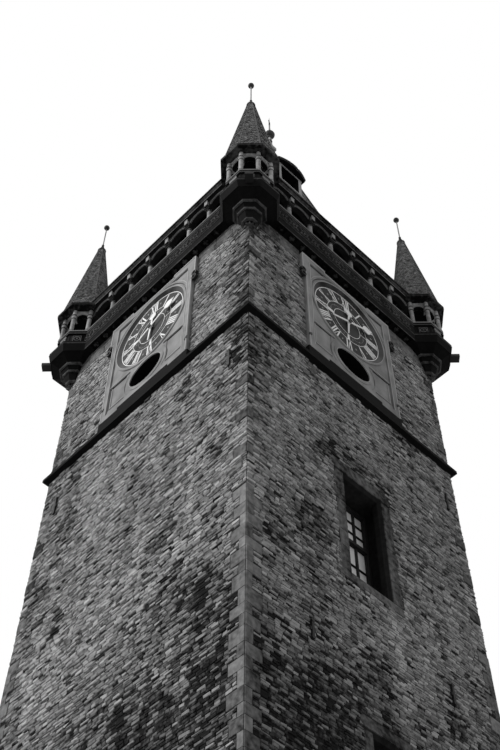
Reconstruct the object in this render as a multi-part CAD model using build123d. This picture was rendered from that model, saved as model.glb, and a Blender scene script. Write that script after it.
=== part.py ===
from build123d import *
import math
import os

# A clock tower at half the size of the real one, in millimetres.
# +Z is up and the origin is at the middle of the base. The front face looks along -Y.

# Shaft
SHAFT_WIDTH = 5720
SHAFT_DEPTH = 5540
WALL = 700
PLINTH_PROJECTION = 120
PLINTH_HEIGHT = 900
PLINTH_CHAMFER = 110

# String course under the clocks. What stands higher takes its level from the one below it
STRING_FOOT = 18310
STRING_FACE_FOOT = STRING_FOOT + 50
STRING_FACE_TOP = STRING_FACE_FOOT + 80
STRING_TOP = STRING_FACE_TOP + 60
STRING_PROJECTION = 105
STRING_TOP_PROJECTION = 20

# Dark base block on the string course, which carries each clock panel
BASE_PROJECTION = 90
BASE_HALF_WIDTH = 1290
BASE_TOP = STRING_TOP + 190
BASE_MIDDLE_HALF_WIDTH = 737
BASE_MIDDLE_TOP = BASE_TOP + 70

# Windows of the east and west faces: head level, height and width of each row
WINDOW_ROWS = [(15670, 2300, 853), (10507, 1700, 600), (5400, 1500, 600)]
WINDOW_OFFSET = -83
WINDOW_CHAMFER = 50
WINDOW_SURROUND = 156
WINDOW_REBATE = 137
WINDOW_REVEAL = 430
CASEMENT_BAR = 50
CASEMENT_DEPTH = 80
CASEMENT_MULLION = 126
CASEMENT_TRANSOM = 70
CASEMENT_TRANSOM_AT = 0.63
GLASS = 14

# Doorway at the foot of the east face
DOOR_WIDTH = 1050
DOOR_SPRINGING = 1700
DOOR_REVEAL = 350
DOOR_LEAF = 80

# Floors: the level of each upper side
FLOOR_LEVELS = [150, 3350, 8260, 12900, STRING_FOOT - 10]
FLOOR_THICKNESS = 150

# Clock panels, dials and hands
PANEL_THICKNESS = 60
PANEL_HEIGHT = 3360
PANEL_TOP = BASE_TOP + PANEL_HEIGHT
PANEL_MIDDLE_HALF_WIDTH = 667
PANEL_MIDDLE_DROP = 80
PANEL_HALF_WIDTH = 1250
PANEL_EAR_HALF_WIDTH = 1338
PANEL_EAR_HEIGHT = 630
PANEL_EAR_FOOT = PANEL_TOP - PANEL_EAR_HEIGHT
FRAME_WIDTH = 140
FRAME_RAIL = 100
FRAME_PROUD = 30
FIELD_FOOT = BASE_TOP + 160
SUNK_FIELD_FOOT = FIELD_FOOT + 140
SUNK_FIELD_TOP = SUNK_FIELD_FOOT + 720
SUNK_FIELD_INNER = 600
SUNK_FIELD_DEPTH = 14
DIAL_OVER_FOOT = 2125
DIAL_LEVEL = BASE_TOP + DIAL_OVER_FOOT
DIAL_RADIUS = 958
DIAL_THICKNESS = 25
DIAL_CLEARANCE = 0.3
RING_RADIUS = 1045
RING_WIDTH = 50
RING_PROUD = 25
HOOD_RADIUS = 1130
HOOD_WIDTH = 60
HOOD_PROUD = 26
HOOD_FOOT = 200
OCULUS_OVER_FOOT = 620
OCULUS_LEVEL = BASE_TOP + OCULUS_OVER_FOOT
OCULUS_HALF_WIDTH = 465
OCULUS_HALF_HEIGHT = 345
OCULUS_RIM = 70
OCULUS_RIM_PROUD = 14
ARBOR_RADIUS = 32
ARBOR_CLEARANCE = 0.3
ARBOR_CAP_RADIUS = 46
ARBOR_CAP = 12
HAND_THICKNESS = 12
HAND_CLEARANCE = 8
HANDS_STAND_OFF = 40
HUB_RADIUS = 50
HEAD_NOSE = 0.72
MINUTE_SHOWN = 10.8
HOUR_SHOWN = 0.18

# Minute hand and hour hand: the widths of the root, neck and tail end, then where the head starts,
# its widest place and half-width, its tip, and the length of the tail
MINUTE_HAND = dict(root=52, neck=40, end=30, head=480, shoulder=590, belly=115, tip=800, tail=550)
HOUR_HAND = dict(root=56, neck=44, end=32, head=280, shoulder=350, belly=100, tip=500, tail=430)

# Top of the walls, over the clock panels
WALL_OVER_PANEL = 150
WALL_TOP = PANEL_TOP + WALL_OVER_PANEL

# Corner turrets: centre set in from the faces, and rings given by half-width across flats and level
TURRET_INSET = 30
PENDANT_RADIUS = 60
PENDANT_FOOT = WALL_TOP - 694
PENDANT_TOP = PENDANT_FOOT + 54
LOW_RING_TOP = PENDANT_TOP + 80
MIDDLE_RING_TOP = LOW_RING_TOP + 260
HIGH_RING_TOP = MIDDLE_RING_TOP + 164
CORBEL_RINGS = [
    (90, PENDANT_TOP, 135, LOW_RING_TOP),
    (160, LOW_RING_TOP, 232, MIDDLE_RING_TOP),
    (255, MIDDLE_RING_TOP, 324, HIGH_RING_TOP),
]
RING_LIP = 16
RING_LIP_HEIGHT = 34
DRUM_RADIUS = 345
DRUM_TOP_RADIUS = 545
CORNICE_FOOT_RADIUS = 560
CORNICE_FLARE = 200
CORNICE_RADIUS = 612
CORNICE_FOOT = WALL_TOP
CORNICE_HEIGHT = 300
CORNICE_TOP = CORNICE_FOOT + CORNICE_HEIGHT
BAND_RADIUS = 465
BAND_FOOT = CORNICE_TOP + 65
BAND_HEIGHT = 395
BAND_TOP = BAND_FOOT + BAND_HEIGHT
CUSHION_MARGIN = 45
CUSHION_EDGE = 40
CUSHION_PROUD = 28
SILL_RADIUS = 500
SILL_THICKNESS = 134
SILL_TOP = BAND_TOP + SILL_THICKNESS
PIER_RADIUS = 448
PIER_SIZE = 50
LANTERN_WALL = 120
LANTERN_RADIUS = 425
COLUMN_HEIGHT = 566
ARCH_SPRINGING = SILL_TOP + COLUMN_HEIGHT
ARCADE_HEIGHT = 300
LANTERN_TOP = ARCH_SPRINGING + ARCADE_HEIGHT
LANTERN_ARCH_RADIUS = 122
LANTERN_ARCH_STILT = 90
LANTERN_CAPITAL = 130
EAVE_RADIUS = 630
EAVE_FASCIA_FOOT = LANTERN_TOP + 30
EAVE_SOFFIT_RADIUS = 560
EAVE_TOP = EAVE_FASCIA_FOOT + 95
SPIRE_RADIUS = 572
SPIRE_TIP_RADIUS = 80
SPIRE_HEIGHT = 3515
SPIRE_TOP = EAVE_TOP + SPIRE_HEIGHT
SPIRE_CAP_RADIUS = 96
SPIRE_CAP_TOP = SPIRE_TOP + 300
BALL_LEVEL = SPIRE_CAP_TOP + 982
BALL_RADIUS = 75
ROD_RADIUS = 16
SPOUT_LENGTH = 180
SPOUT_WIDTH = 180
SPOUT_HEIGHT = 90
SPOUT_LEVEL = CORNICE_FOOT + 145

# Gallery between the turrets
COFFER_SIZE = 225
COFFER_DEPTH = 50
COFFER_START = 25
COFFER_REACH = 150
PARAPET_THICKNESS = 330
ARCADE_PROJECTION = 130
ARCADE_THICKNESS = 150
COLUMN_COUNT = 6
COLUMN_SPACING = 655
COLUMN_RADIUS = 52
COLUMN_BASE = 40
COLLAR_PROUD = 9
COLLAR_HEIGHT = 26
COLLAR_DROP = 12
CAPITAL_FLARE = 60
CAPITAL_WIDTH = 128
CAPITAL_PROUD = 14
CAPITAL_HEIGHT = 130
CAPITAL_TOP = ARCH_SPRINGING + CAPITAL_HEIGHT
PILASTER_WIDTH = 90
PILASTER_PROUD = 50
ARCH_RISE = 250
EAVES_PROJECTION = 260
EAVES_COVE_PROJECTION = 185
EAVES_COVE_TOP = LANTERN_TOP + 50
EAVES_FILLET_PROJECTION = 200
EAVES_FILLET_TOP = EAVES_COVE_TOP + 25
EAVES_SOFFIT_PROJECTION = 250
EAVES_FASCIA_FOOT = EAVES_FILLET_TOP + 60
EAVES_TOP = EAVES_FASCIA_FOOT + 63

# Main roof, dormers and ridge finials
ROOF_FOOT_LEVEL = EAVES_TOP + 294
ROOF_FOOT_HALF_X = 2374
ROOF_FOOT_HALF_Y = 2230
RIDGE_HALF = 821
RIDGE_WIDTH = 60
ROOF_HEIGHT = 7922
RIDGE_LEVEL = ROOF_FOOT_LEVEL + ROOF_HEIGHT
ROOF_THICKNESS = 130
DORMER_FRONT = 1516
DORMER_BACK = 1130
DORMER_HALF_WIDTH = 443
DORMER_FOOT = ROOF_FOOT_LEVEL + 4248
DORMER_HEIGHT = 1200
DORMER_TOP = DORMER_FOOT + DORMER_HEIGHT
DORMER_POST = 110
DORMER_SILL = DORMER_FOOT + 200
DORMER_HEAD = DORMER_TOP - 100
DORMER_EAVE = 70
DORMER_EAVE_SIDE = 1580
DORMER_EAVE_FRONT = 1690
FINIAL_X = 772
FINIAL_SEAT_LENGTH = 300
FINIAL_SEAT_WIDTH = 240
FINIAL_SEAT_HEIGHT = 150
FINIAL_SIZE = 150
FINIAL_NECK = 70
FINIAL_HEIGHT = 916
FINIAL_TOP = RIDGE_LEVEL + FINIAL_HEIGHT
RIDGE_BALL_RADIUS = 150
VANE_OVER_FINIAL = 830
VANE_FOOT = FINIAL_TOP + VANE_OVER_FINIAL
VANE_SLEEVE = 190
VANE_SLEEVE_RADIUS = 24
VANE_LENGTH = 300
VANE_NOTCH = 75
VANE_HEIGHT = 130
VANE_PLATE = 10
VANE_POINTER = 150
VANE_BAR = 20
VANE_SPIKE_TIP = 2
VANE_RISE = 600
VANE_TIP = VANE_FOOT + VANE_RISE
VANE_TURN = 127

MINUTE_ANGLE = 360 / 60
HOUR_ANGLE = 360 / 12
TAN = math.tan(math.radians(22.5))
# Each face: quarter turns from the front face, its distance from the axis and half its length
FACES = {
    "front": (0, SHAFT_DEPTH / 2, SHAFT_WIDTH / 2),
    "east": (90, SHAFT_WIDTH / 2, SHAFT_DEPTH / 2),
    "rear": (180, SHAFT_DEPTH / 2, SHAFT_WIDTH / 2),
    "west": (270, SHAFT_WIDTH / 2, SHAFT_DEPTH / 2),
}
CORNERS = [(sx, sy) for sx in (-1, 1) for sy in (-1, 1)]
TURRET_X = SHAFT_WIDTH / 2 - TURRET_INSET
TURRET_Y = SHAFT_DEPTH / 2 - TURRET_INSET
DIAL_FACE = DIAL_THICKNESS
HOUR_BACK = DIAL_FACE + HANDS_STAND_OFF
MINUTE_BACK = HOUR_BACK + HAND_THICKNESS + HAND_CLEARANCE
ARBOR_END = MINUTE_BACK + HAND_THICKNESS + HAND_CLEARANCE
VANE_ROD_TOP = VANE_FOOT + VANE_SLEEVE


def block(x0, x1, y0, y1, z0, z1):
    """A box between two corners."""
    middle = Pos((x0 + x1) / 2, (y0 + y1) / 2, (z0 + z1) / 2)
    return middle * Box(x1 - x0, y1 - y0, z1 - z0)


def storey(projection, z0, z1):
    """The shaft's outline, grown by a projection, between two levels."""
    half_x = SHAFT_WIDTH / 2 + projection
    half_y = SHAFT_DEPTH / 2 + projection
    return block(-half_x, half_x, -half_y, half_y, z0, z1)


def tapered(low, high):
    """A solid with flat sides between two like outlines, each a list of points."""
    ends = [Face(Wire.make_polygon(low)), Face(Wire.make_polygon(high))]
    sides = []
    for i in range(len(low)):
        sides.append(Face(Wire.make_polygon([low[i - 1], low[i], high[i], high[i - 1]])))
    return Solid(Shell(ends + sides))


def rectangle(half_x, half_y, z):
    """The corners of a level rectangle about the axis."""
    return [(-half_x, -half_y, z), (half_x, -half_y, z), (half_x, half_y, z), (-half_x, half_y, z)]


def taper(projection0, z0, projection1, z1):
    """The shaft's outline, growing or shrinking between two levels."""
    half_x = SHAFT_WIDTH / 2
    half_y = SHAFT_DEPTH / 2
    low = rectangle(half_x + projection0, half_y + projection0, z0)
    high = rectangle(half_x + projection1, half_y + projection1, z1)
    return tapered(low, high)


def octagon(radius0, z0, radius1, z1):
    """An eight-sided prism or frustum, given by half its width across flats."""
    turns = [math.radians(22.5 + 45 * i) for i in range(8)]
    grow = 1 / math.cos(math.radians(22.5))
    rings = []
    for radius, z in ((radius0, z0), (radius1, z1)):
        rings.append([(radius * grow * math.cos(a), radius * grow * math.sin(a), z) for a in turns])
    return tapered(*rings)


def on_face(shape, face):
    """Turn and move a shape made for a wall plane at y = 0, facing -Y, onto a face."""
    turn, distance, _ = FACES[face]
    return Rot(0, 0, turn) * Pos(0, -distance, 0) * shape


def side_of(ring, face, depth):
    """The part of a ring that belongs to one face, mitred at the corners."""
    _, distance, half = FACES[face]
    reach = 2 * depth
    points = [(-half - reach, -reach), (half + reach, -reach), (half - depth, depth), (depth - half, depth)]
    region = extrude(make_face(Polyline(*points, close=True)), amount=2 * WALL_TOP)
    return ring & on_face(Pos(0, 0, -1) * region, face)


def level_with(radius):
    """How far a band stands out from the shaft where it meets a turret ring at a corner of the ring."""
    return TAN * radius - TURRET_INSET


def at_turrets(shape):
    """Four copies of a shape made on the axis, one at each turret."""
    return [Pos(sx * TURRET_X, sy * TURRET_Y, 0) * shape for sx, sy in CORNERS]


def arch_prism(width, foot, springing, y0, y1):
    """A round-headed opening, cut along Y."""
    radius = width / 2
    outline = Polyline((-radius, springing), (-radius, foot), (radius, foot), (radius, springing))
    head = ThreePointArc((radius, springing), (0, springing + radius), (-radius, springing))
    face = Plane.XZ * make_face(outline + head)
    return Pos(0, y1, 0) * extrude(face, amount=y1 - y0)


def window_tool(head, height, width, y0, y1):
    """A window's rectangular space, between two depths behind the wall plane."""
    left = WINDOW_OFFSET - width / 2
    return block(left, left + width, y0, y1, head - height, head)


def window_chamfer(head, height, width):
    """The cut that chamfers a window's outer edges at the jambs and the head."""
    half = width / 2
    foot = head - height
    wide = half + WINDOW_CHAMFER
    high = head + WINDOW_CHAMFER
    outer = [(-wide, 0, foot), (wide, 0, foot), (wide, 0, high), (-wide, 0, high)]
    inner = [(-half, WINDOW_CHAMFER, foot), (half, WINDOW_CHAMFER, foot),
             (half, WINDOW_CHAMFER, head), (-half, WINDOW_CHAMFER, head)]
    return Pos(WINDOW_OFFSET, 0, 0) * tapered(outer, inner)


def rebate_width(width):
    """The width behind the stone surround, where the casement stands."""
    return width + 2 * WINDOW_REBATE


def shaft():
    """The whole hollow shaft, before it is divided into its four walls."""
    plinth = storey(PLINTH_PROJECTION, 0, PLINTH_HEIGHT)
    plinth = chamfer(plinth.edges().group_by(Axis.Z)[-1], PLINTH_CHAMFER)
    solid = plinth + storey(0, 0, WALL_TOP) - storey(-WALL, -1, WALL_TOP + 1)
    through = (-2 * PLINTH_PROJECTION, WALL + 1)
    for face in ("east", "west"):
        for head, height, width in WINDOW_ROWS:
            solid -= on_face(window_tool(head, height, width, *through), face)
            rebate = window_tool(head, height, rebate_width(width), WINDOW_SURROUND, WALL + 1)
            solid -= on_face(rebate, face)
            solid -= on_face(window_chamfer(head, height, width), face)
    solid -= on_face(arch_prism(DOOR_WIDTH, FLOOR_LEVELS[0], DOOR_SPRINGING, *through), "east")
    for face in FACES:
        solid -= on_face(oculus_tool(*through), face)
    return solid


def oculus_tool(y0, y1):
    """The oval hole under a dial."""
    oval = Plane.XZ * Ellipse(OCULUS_HALF_WIDTH, OCULUS_HALF_HEIGHT)
    return Pos(0, y1, OCULUS_LEVEL) * extrude(oval, amount=y1 - y0)


def panel_base():
    """The stepped block between the string course and a clock panel, made for the wall plane at y = 0."""
    middle = BASE_MIDDLE_HALF_WIDTH
    low = block(-BASE_HALF_WIDTH, BASE_HALF_WIDTH, -BASE_PROJECTION, 0, STRING_FACE_FOOT, BASE_TOP)
    return low + block(-middle, middle, -BASE_PROJECTION, 0, STRING_FACE_FOOT, BASE_MIDDLE_TOP)


def string_course():
    """The moulding under the clocks, with the base blocks of the panels on it."""
    ring = taper(0, STRING_FOOT, STRING_PROJECTION, STRING_FACE_FOOT)
    ring += storey(STRING_PROJECTION, STRING_FACE_FOOT, STRING_FACE_TOP)
    ring += taper(STRING_PROJECTION, STRING_FACE_TOP, STRING_TOP_PROJECTION, STRING_TOP)
    for face in FACES:
        ring += on_face(panel_base(), face)
    return ring - storey(0, STRING_FOOT - 1, BASE_MIDDLE_TOP + 1)


def turret_base():
    """A stepped corbel, its cornice, the panelled band and the sill, on the turret's axis."""
    solid = octagon(PENDANT_RADIUS, PENDANT_FOOT, PENDANT_RADIUS, PENDANT_TOP)
    for low, z0, high, z1 in CORBEL_RINGS:
        lip = high + RING_LIP
        solid += octagon(low, z0, high, z1 - RING_LIP_HEIGHT)
        solid += octagon(lip, z1 - RING_LIP_HEIGHT, lip, z1)
    solid += octagon(DRUM_RADIUS, CORBEL_RINGS[-1][-1], DRUM_TOP_RADIUS, CORNICE_FOOT)
    flare_top = CORNICE_FOOT + CORNICE_FLARE
    solid += octagon(CORNICE_FOOT_RADIUS, CORNICE_FOOT, CORNICE_RADIUS, flare_top)
    solid += octagon(CORNICE_RADIUS, flare_top, CORNICE_RADIUS, CORNICE_TOP)
    solid += octagon(CORNICE_RADIUS, CORNICE_TOP, BAND_RADIUS, BAND_FOOT)
    solid += octagon(BAND_RADIUS, BAND_FOOT, BAND_RADIUS, BAND_TOP)
    solid += octagon(SILL_RADIUS, BAND_TOP, SILL_RADIUS, SILL_TOP)
    return solid


def band_panel():
    """A raised cushion on one side of a turret's band, with its edges cut back."""
    middle = (BAND_FOOT + BAND_TOP) / 2
    half = TAN * BAND_RADIUS - CUSHION_MARGIN
    high = (BAND_TOP - BAND_FOOT) / 2 - CUSHION_MARGIN
    back = rectangle(half, high, 0)
    front = rectangle(half - CUSHION_EDGE, high - CUSHION_EDGE, CUSHION_PROUD)
    return Pos(BAND_RADIUS, 0, middle) * Rot(0, 90, 0) * Rot(0, 0, 90) * tapered(back, front)


def panelled_base(sx, sy):
    """A turret's base in its place, with a cushion on each side that shows, and nothing inside the walls."""
    solid = turret_base()
    outward = math.degrees(math.atan2(sy, sx))
    for turn in (-90, -45, 0, 45, 90):
        solid += Rot(0, 0, outward + turn) * band_panel()
    return Pos(sx * TURRET_X, sy * TURRET_Y, 0) * solid - storey(0, 0, WALL_TOP)


def pier_places(radius):
    """The eight corners of a turret's lantern, as points on the turret's axis frame."""
    reach = radius / math.cos(math.radians(22.5))
    return [Rot(0, 0, 22.5 + 45 * i) * Pos(reach, 0, 0) for i in range(8)]


def round_column(radius):
    """A round column from the sill to the springing, with a base ring and a collar under its capital."""
    height = ARCH_SPRINGING - SILL_TOP
    solid = Pos(0, 0, height / 2) * Cylinder(radius, height)
    collar = Cylinder(radius + COLLAR_PROUD, COLLAR_HEIGHT)
    solid += Pos(0, 0, COLLAR_HEIGHT / 2) * collar
    solid += Pos(0, 0, height - COLLAR_DROP - COLLAR_HEIGHT / 2) * collar
    return Pos(0, 0, SILL_TOP) * solid


def turret_cornice():
    """The stone cornice over a turret's arches, from its soffit to the foot of the spire."""
    soffit = octagon(LANTERN_RADIUS, LANTERN_TOP, EAVE_SOFFIT_RADIUS, EAVE_FASCIA_FOOT)
    return soffit + octagon(EAVE_RADIUS, EAVE_FASCIA_FOOT, EAVE_RADIUS, EAVE_TOP)


def lantern_arches():
    """The ring of eight round arches with the stone cornice over it."""
    ring = octagon(LANTERN_RADIUS, ARCH_SPRINGING, LANTERN_RADIUS, LANTERN_TOP)
    ring += turret_cornice()
    inner = LANTERN_RADIUS - LANTERN_WALL
    ring -= octagon(inner, ARCH_SPRINGING - 1, inner, LANTERN_TOP)
    reach = 2 * LANTERN_RADIUS
    springing = ARCH_SPRINGING + LANTERN_ARCH_STILT
    head = arch_prism(2 * LANTERN_ARCH_RADIUS, ARCH_SPRINGING - 1, springing, -reach, reach)
    for i in range(4):
        ring -= Rot(0, 0, 45 * i) * head
    wide = PIER_SIZE + CAPITAL_PROUD
    flare = Pos(0, 0, CAPITAL_FLARE / 2) * Cone(PIER_SIZE, wide, CAPITAL_FLARE)
    height = LANTERN_CAPITAL - CAPITAL_FLARE
    cap = flare + Pos(0, 0, CAPITAL_FLARE + height / 2) * Cylinder(wide, height)
    shaft_height = LANTERN_TOP - ARCH_SPRINGING - LANTERN_CAPITAL
    cap += Pos(0, 0, LANTERN_CAPITAL + shaft_height / 2) * Cylinder(PIER_SIZE, shaft_height)
    for place in pier_places(PIER_RADIUS):
        ring += place * Pos(0, 0, ARCH_SPRINGING) * cap
    return ring


def lantern_filled():
    """The lantern's outer shape with no openings, which the gallery butts against."""
    solid = octagon(LANTERN_RADIUS, SILL_TOP, LANTERN_RADIUS, LANTERN_TOP)
    post = extrude(Circle(PIER_SIZE + CAPITAL_PROUD), amount=LANTERN_TOP - SILL_TOP)
    for place in pier_places(PIER_RADIUS):
        solid += place * Pos(0, 0, SILL_TOP) * post
    return solid


def eaves_filled():
    """The turret's cornice and its spire, which the eaves and roof butt against."""
    return turret_cornice() + octagon(SPIRE_RADIUS, EAVE_TOP, SPIRE_TIP_RADIUS, SPIRE_TOP)


def turret_spire():
    """A slated eight-sided spire with a small conical cap."""
    solid = octagon(SPIRE_RADIUS, EAVE_TOP, SPIRE_TIP_RADIUS, SPIRE_TOP)
    height = SPIRE_CAP_TOP - SPIRE_TOP
    cap = Pos(0, 0, SPIRE_TOP + height / 2) * Cone(SPIRE_CAP_RADIUS, ROD_RADIUS, height)
    return solid + cap


def turret_finial():
    """The rod and ball over a spire."""
    rod = Pos(0, 0, SPIRE_CAP_TOP) * extrude(Circle(ROD_RADIUS), amount=BALL_LEVEL - SPIRE_CAP_TOP)
    return rod + Pos(0, 0, BALL_LEVEL) * Sphere(BALL_RADIUS)


def turret_spout(sx, sy):
    """A square water spout that points away from the tower at a corner."""
    reach = CORNICE_RADIUS + SPOUT_LENGTH
    half = SPOUT_WIDTH / 2
    high = SPOUT_HEIGHT / 2
    bar = block(0, reach, -half, half, SPOUT_LEVEL - high, SPOUT_LEVEL + high)
    turn = math.degrees(math.atan2(sy, sx))
    return Pos(sx * TURRET_X, sy * TURRET_Y, 0) * (Rot(0, 0, turn) * bar - turret_base())


def coffers(face):
    """The row of square coffers in the soffit over one face, two to each column's spacing."""
    _, _, half = FACES[face]
    pitch = COLUMN_SPACING / 2
    count = int((half - TURRET_INSET - CORNICE_RADIUS) / pitch)
    side = COFFER_SIZE / 2
    reach = COFFER_START + COFFER_REACH
    cut = block(-side, side, -reach, -COFFER_START, WALL_TOP - 1, WALL_TOP + COFFER_DEPTH)
    return [on_face(Pos(pitch * i, 0, 0) * cut, face) for i in range(-count, count + 1)]


def corbel_table():
    """The deep moulding that carries the gallery between the turrets, with a coffered soffit."""
    face = level_with(CORNICE_RADIUS)
    flare_top = CORNICE_FOOT + CORNICE_FLARE
    ring = taper(level_with(CORNICE_FOOT_RADIUS), CORNICE_FOOT, face, flare_top)
    ring += storey(face, flare_top, CORNICE_TOP)
    ring += taper(face, CORNICE_TOP, level_with(BAND_RADIUS), BAND_FOOT)
    ring -= storey(-WALL, WALL_TOP - 1, BAND_FOOT + 1)
    for side in FACES:
        for cut in coffers(side):
            ring -= cut
    for base in at_turrets(turret_base()):
        ring -= base
    return ring


def parapets():
    """The gallery's panelled parapets with their sills."""
    face = level_with(BAND_RADIUS)
    ring = storey(face, BAND_FOOT, BAND_TOP)
    ring += storey(level_with(SILL_RADIUS), BAND_TOP, SILL_TOP)
    ring -= storey(face - PARAPET_THICKNESS, BAND_FOOT - 1, SILL_TOP + 1)
    for base in at_turrets(turret_base()):
        ring -= base
    return ring


def column_places():
    """How far each free column of a face stands from the face's middle."""
    first = -COLUMN_SPACING * (COLUMN_COUNT - 1) / 2
    return [first + COLUMN_SPACING * i for i in range(COLUMN_COUNT)]


def gallery_column():
    """A round column on a square base, made for the wall plane at y = 0."""
    middle = ARCADE_THICKNESS / 2 - ARCADE_PROJECTION
    half = COLUMN_RADIUS + CAPITAL_PROUD
    foot = block(-half, half, middle - half, middle + half, SILL_TOP, SILL_TOP + COLUMN_BASE)
    return foot + Pos(0, middle, 0) * round_column(COLUMN_RADIUS)


def capital():
    """A column's block capital, which grows from the column's width and stands proud of the arches."""
    front = -ARCADE_PROJECTION
    back = front + ARCADE_THICKNESS
    wide = CAPITAL_WIDTH / 2
    flare_top = ARCH_SPRINGING + CAPITAL_FLARE
    low = rectangle(COLUMN_RADIUS, ARCADE_THICKNESS / 2 - CAPITAL_PROUD, ARCH_SPRINGING)
    high = rectangle(wide, ARCADE_THICKNESS / 2 + CAPITAL_PROUD, flare_top)
    flare = Pos(0, (front + back) / 2, 0) * tapered(low, high)
    cap = block(-wide, wide, front - CAPITAL_PROUD, back + CAPITAL_PROUD, flare_top, CAPITAL_TOP)
    half = PILASTER_WIDTH / 2
    shaft_foot = CAPITAL_TOP - PILASTER_PROUD
    shaft = block(-half, half, front - PILASTER_PROUD, front, shaft_foot, LANTERN_TOP)
    return flare + cap + shaft


def arches(face):
    """The wall of segmental arches over the columns of one face."""
    _, _, half = FACES[face]
    front = -ARCADE_PROJECTION
    back = front + ARCADE_THICKNESS
    wall = block(-half, half, front, back, ARCH_SPRINGING, LANTERN_TOP)
    clear = COLUMN_SPACING - CAPITAL_WIDTH
    arc = ThreePointArc(
        (-clear / 2, ARCH_SPRINGING), (0, ARCH_SPRINGING + ARCH_RISE), (clear / 2, ARCH_SPRINGING))
    outline = arc + Line((clear / 2, ARCH_SPRINGING), (-clear / 2, ARCH_SPRINGING))
    bay = Pos(0, back + 1, 0) * extrude(Plane.XZ * make_face(outline), amount=ARCADE_THICKNESS + 2)
    for i in range(COLUMN_COUNT + 1):
        wall -= Pos(COLUMN_SPACING * (i - COLUMN_COUNT / 2), 0, 0) * bay
    for x in column_places():
        wall += Pos(x, 0, 0) * capital()
    wall = on_face(wall, face)
    for solid in at_turrets(lantern_filled()):
        wall -= solid
    return wall


def eaves_cornice():
    """The moulded cornice over the arches, with the dark fascia of the eaves."""
    ring = taper(ARCADE_PROJECTION, LANTERN_TOP, EAVES_COVE_PROJECTION, EAVES_COVE_TOP)
    ring += storey(EAVES_FILLET_PROJECTION, EAVES_COVE_TOP, EAVES_FILLET_TOP)
    ring += taper(EAVES_FILLET_PROJECTION, EAVES_FILLET_TOP, EAVES_SOFFIT_PROJECTION, EAVES_FASCIA_FOOT)
    ring += storey(EAVES_PROJECTION, EAVES_FASCIA_FOOT, EAVES_TOP)
    ring -= storey(ARCADE_PROJECTION - ARCADE_THICKNESS, LANTERN_TOP - 1, EAVES_TOP + 1)
    for solid in at_turrets(eaves_filled()):
        ring -= solid
    return ring


def roof_form(drop):
    """The main roof's outer form, or its inner form when drop is the thickness."""
    half_x = ROOF_FOOT_HALF_X - drop
    half_y = ROOF_FOOT_HALF_Y - drop
    rise = drop * (RIDGE_LEVEL - ROOF_FOOT_LEVEL) / ROOF_FOOT_HALF_Y
    foot = rectangle(half_x, half_y, ROOF_FOOT_LEVEL)
    ridge = rectangle(RIDGE_HALF - drop, RIDGE_WIDTH / 2, RIDGE_LEVEL - rise)
    return tapered(foot, ridge)


def roof_skirt():
    """The flatter foot of the roof, from the eaves to the steep slopes."""
    low = rectangle(SHAFT_WIDTH / 2 + EAVES_PROJECTION, SHAFT_DEPTH / 2 + EAVES_PROJECTION, EAVES_TOP)
    high = rectangle(ROOF_FOOT_HALF_X, ROOF_FOOT_HALF_Y, ROOF_FOOT_LEVEL)
    return tapered(low, high)


def main_roof():
    """The steep hipped roof as a shell, cut out round the spires and the dormers."""
    half_x = ROOF_FOOT_HALF_X - ROOF_THICKNESS
    half_y = ROOF_FOOT_HALF_Y - ROOF_THICKNESS
    solid = roof_form(0) + roof_skirt() - roof_form(ROOF_THICKNESS)
    solid -= block(-half_x, half_x, -half_y, half_y, EAVES_TOP - 1, ROOF_FOOT_LEVEL)
    for shape in at_turrets(eaves_filled()):
        solid -= shape
    for turn in (0, 180):
        solid -= Rot(0, 0, turn) * dormer_box()
    return solid


def dormer_box():
    """The outer form of a dormer's body."""
    wide = DORMER_HALF_WIDTH
    return block(DORMER_BACK, DORMER_FRONT, -wide, wide, DORMER_FOOT, DORMER_TOP)


def dormer():
    """A small dormer on the east hip, with an open front between posts and a bowed eave."""
    clear = DORMER_HALF_WIDTH - DORMER_POST
    body = dormer_box()
    body -= block(DORMER_BACK - 1, DORMER_FRONT + 1, -clear, clear, DORMER_SILL, DORMER_HEAD)
    side = DORMER_HALF_WIDTH + DORMER_EAVE
    back = Polyline(
        (DORMER_EAVE_SIDE, side), (DORMER_BACK, side), (DORMER_BACK, -side), (DORMER_EAVE_SIDE, -side))
    bow = ThreePointArc((DORMER_EAVE_SIDE, -side), (DORMER_EAVE_FRONT, 0), (DORMER_EAVE_SIDE, side))
    canopy = Pos(0, 0, DORMER_TOP) * extrude(make_face(back + bow), amount=DORMER_EAVE)
    return body + (canopy - roof_form(0))


def ridge_finial():
    """A tapered post on the end of the ridge, with a ball and a thin rod."""
    seat = Pos(0, 0, RIDGE_LEVEL) * Box(FINIAL_SEAT_LENGTH, FINIAL_SEAT_WIDTH, FINIAL_SEAT_HEIGHT)
    seat = Pos(FINIAL_X, 0, 0) * seat - roof_form(0)
    foot = rectangle(FINIAL_SIZE / 2, FINIAL_SIZE / 2, RIDGE_LEVEL)
    neck = rectangle(FINIAL_NECK / 2, FINIAL_NECK / 2, FINIAL_TOP)
    post = Pos(FINIAL_X, 0, 0) * tapered(foot, neck)
    ball = Pos(FINIAL_X, 0, FINIAL_TOP + RIDGE_BALL_RADIUS) * Sphere(RIDGE_BALL_RADIUS)
    stop = extrude(Circle(VANE_SLEEVE_RADIUS), amount=VANE_FOOT - FINIAL_TOP - ARBOR_CLEARANCE)
    pin = extrude(Circle(ROD_RADIUS), amount=VANE_ROD_TOP - FINIAL_TOP)
    stop = Pos(FINIAL_X, 0, FINIAL_TOP) * stop
    pin = Pos(FINIAL_X, 0, FINIAL_TOP) * pin
    return seat + post + ball + stop + pin


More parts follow.
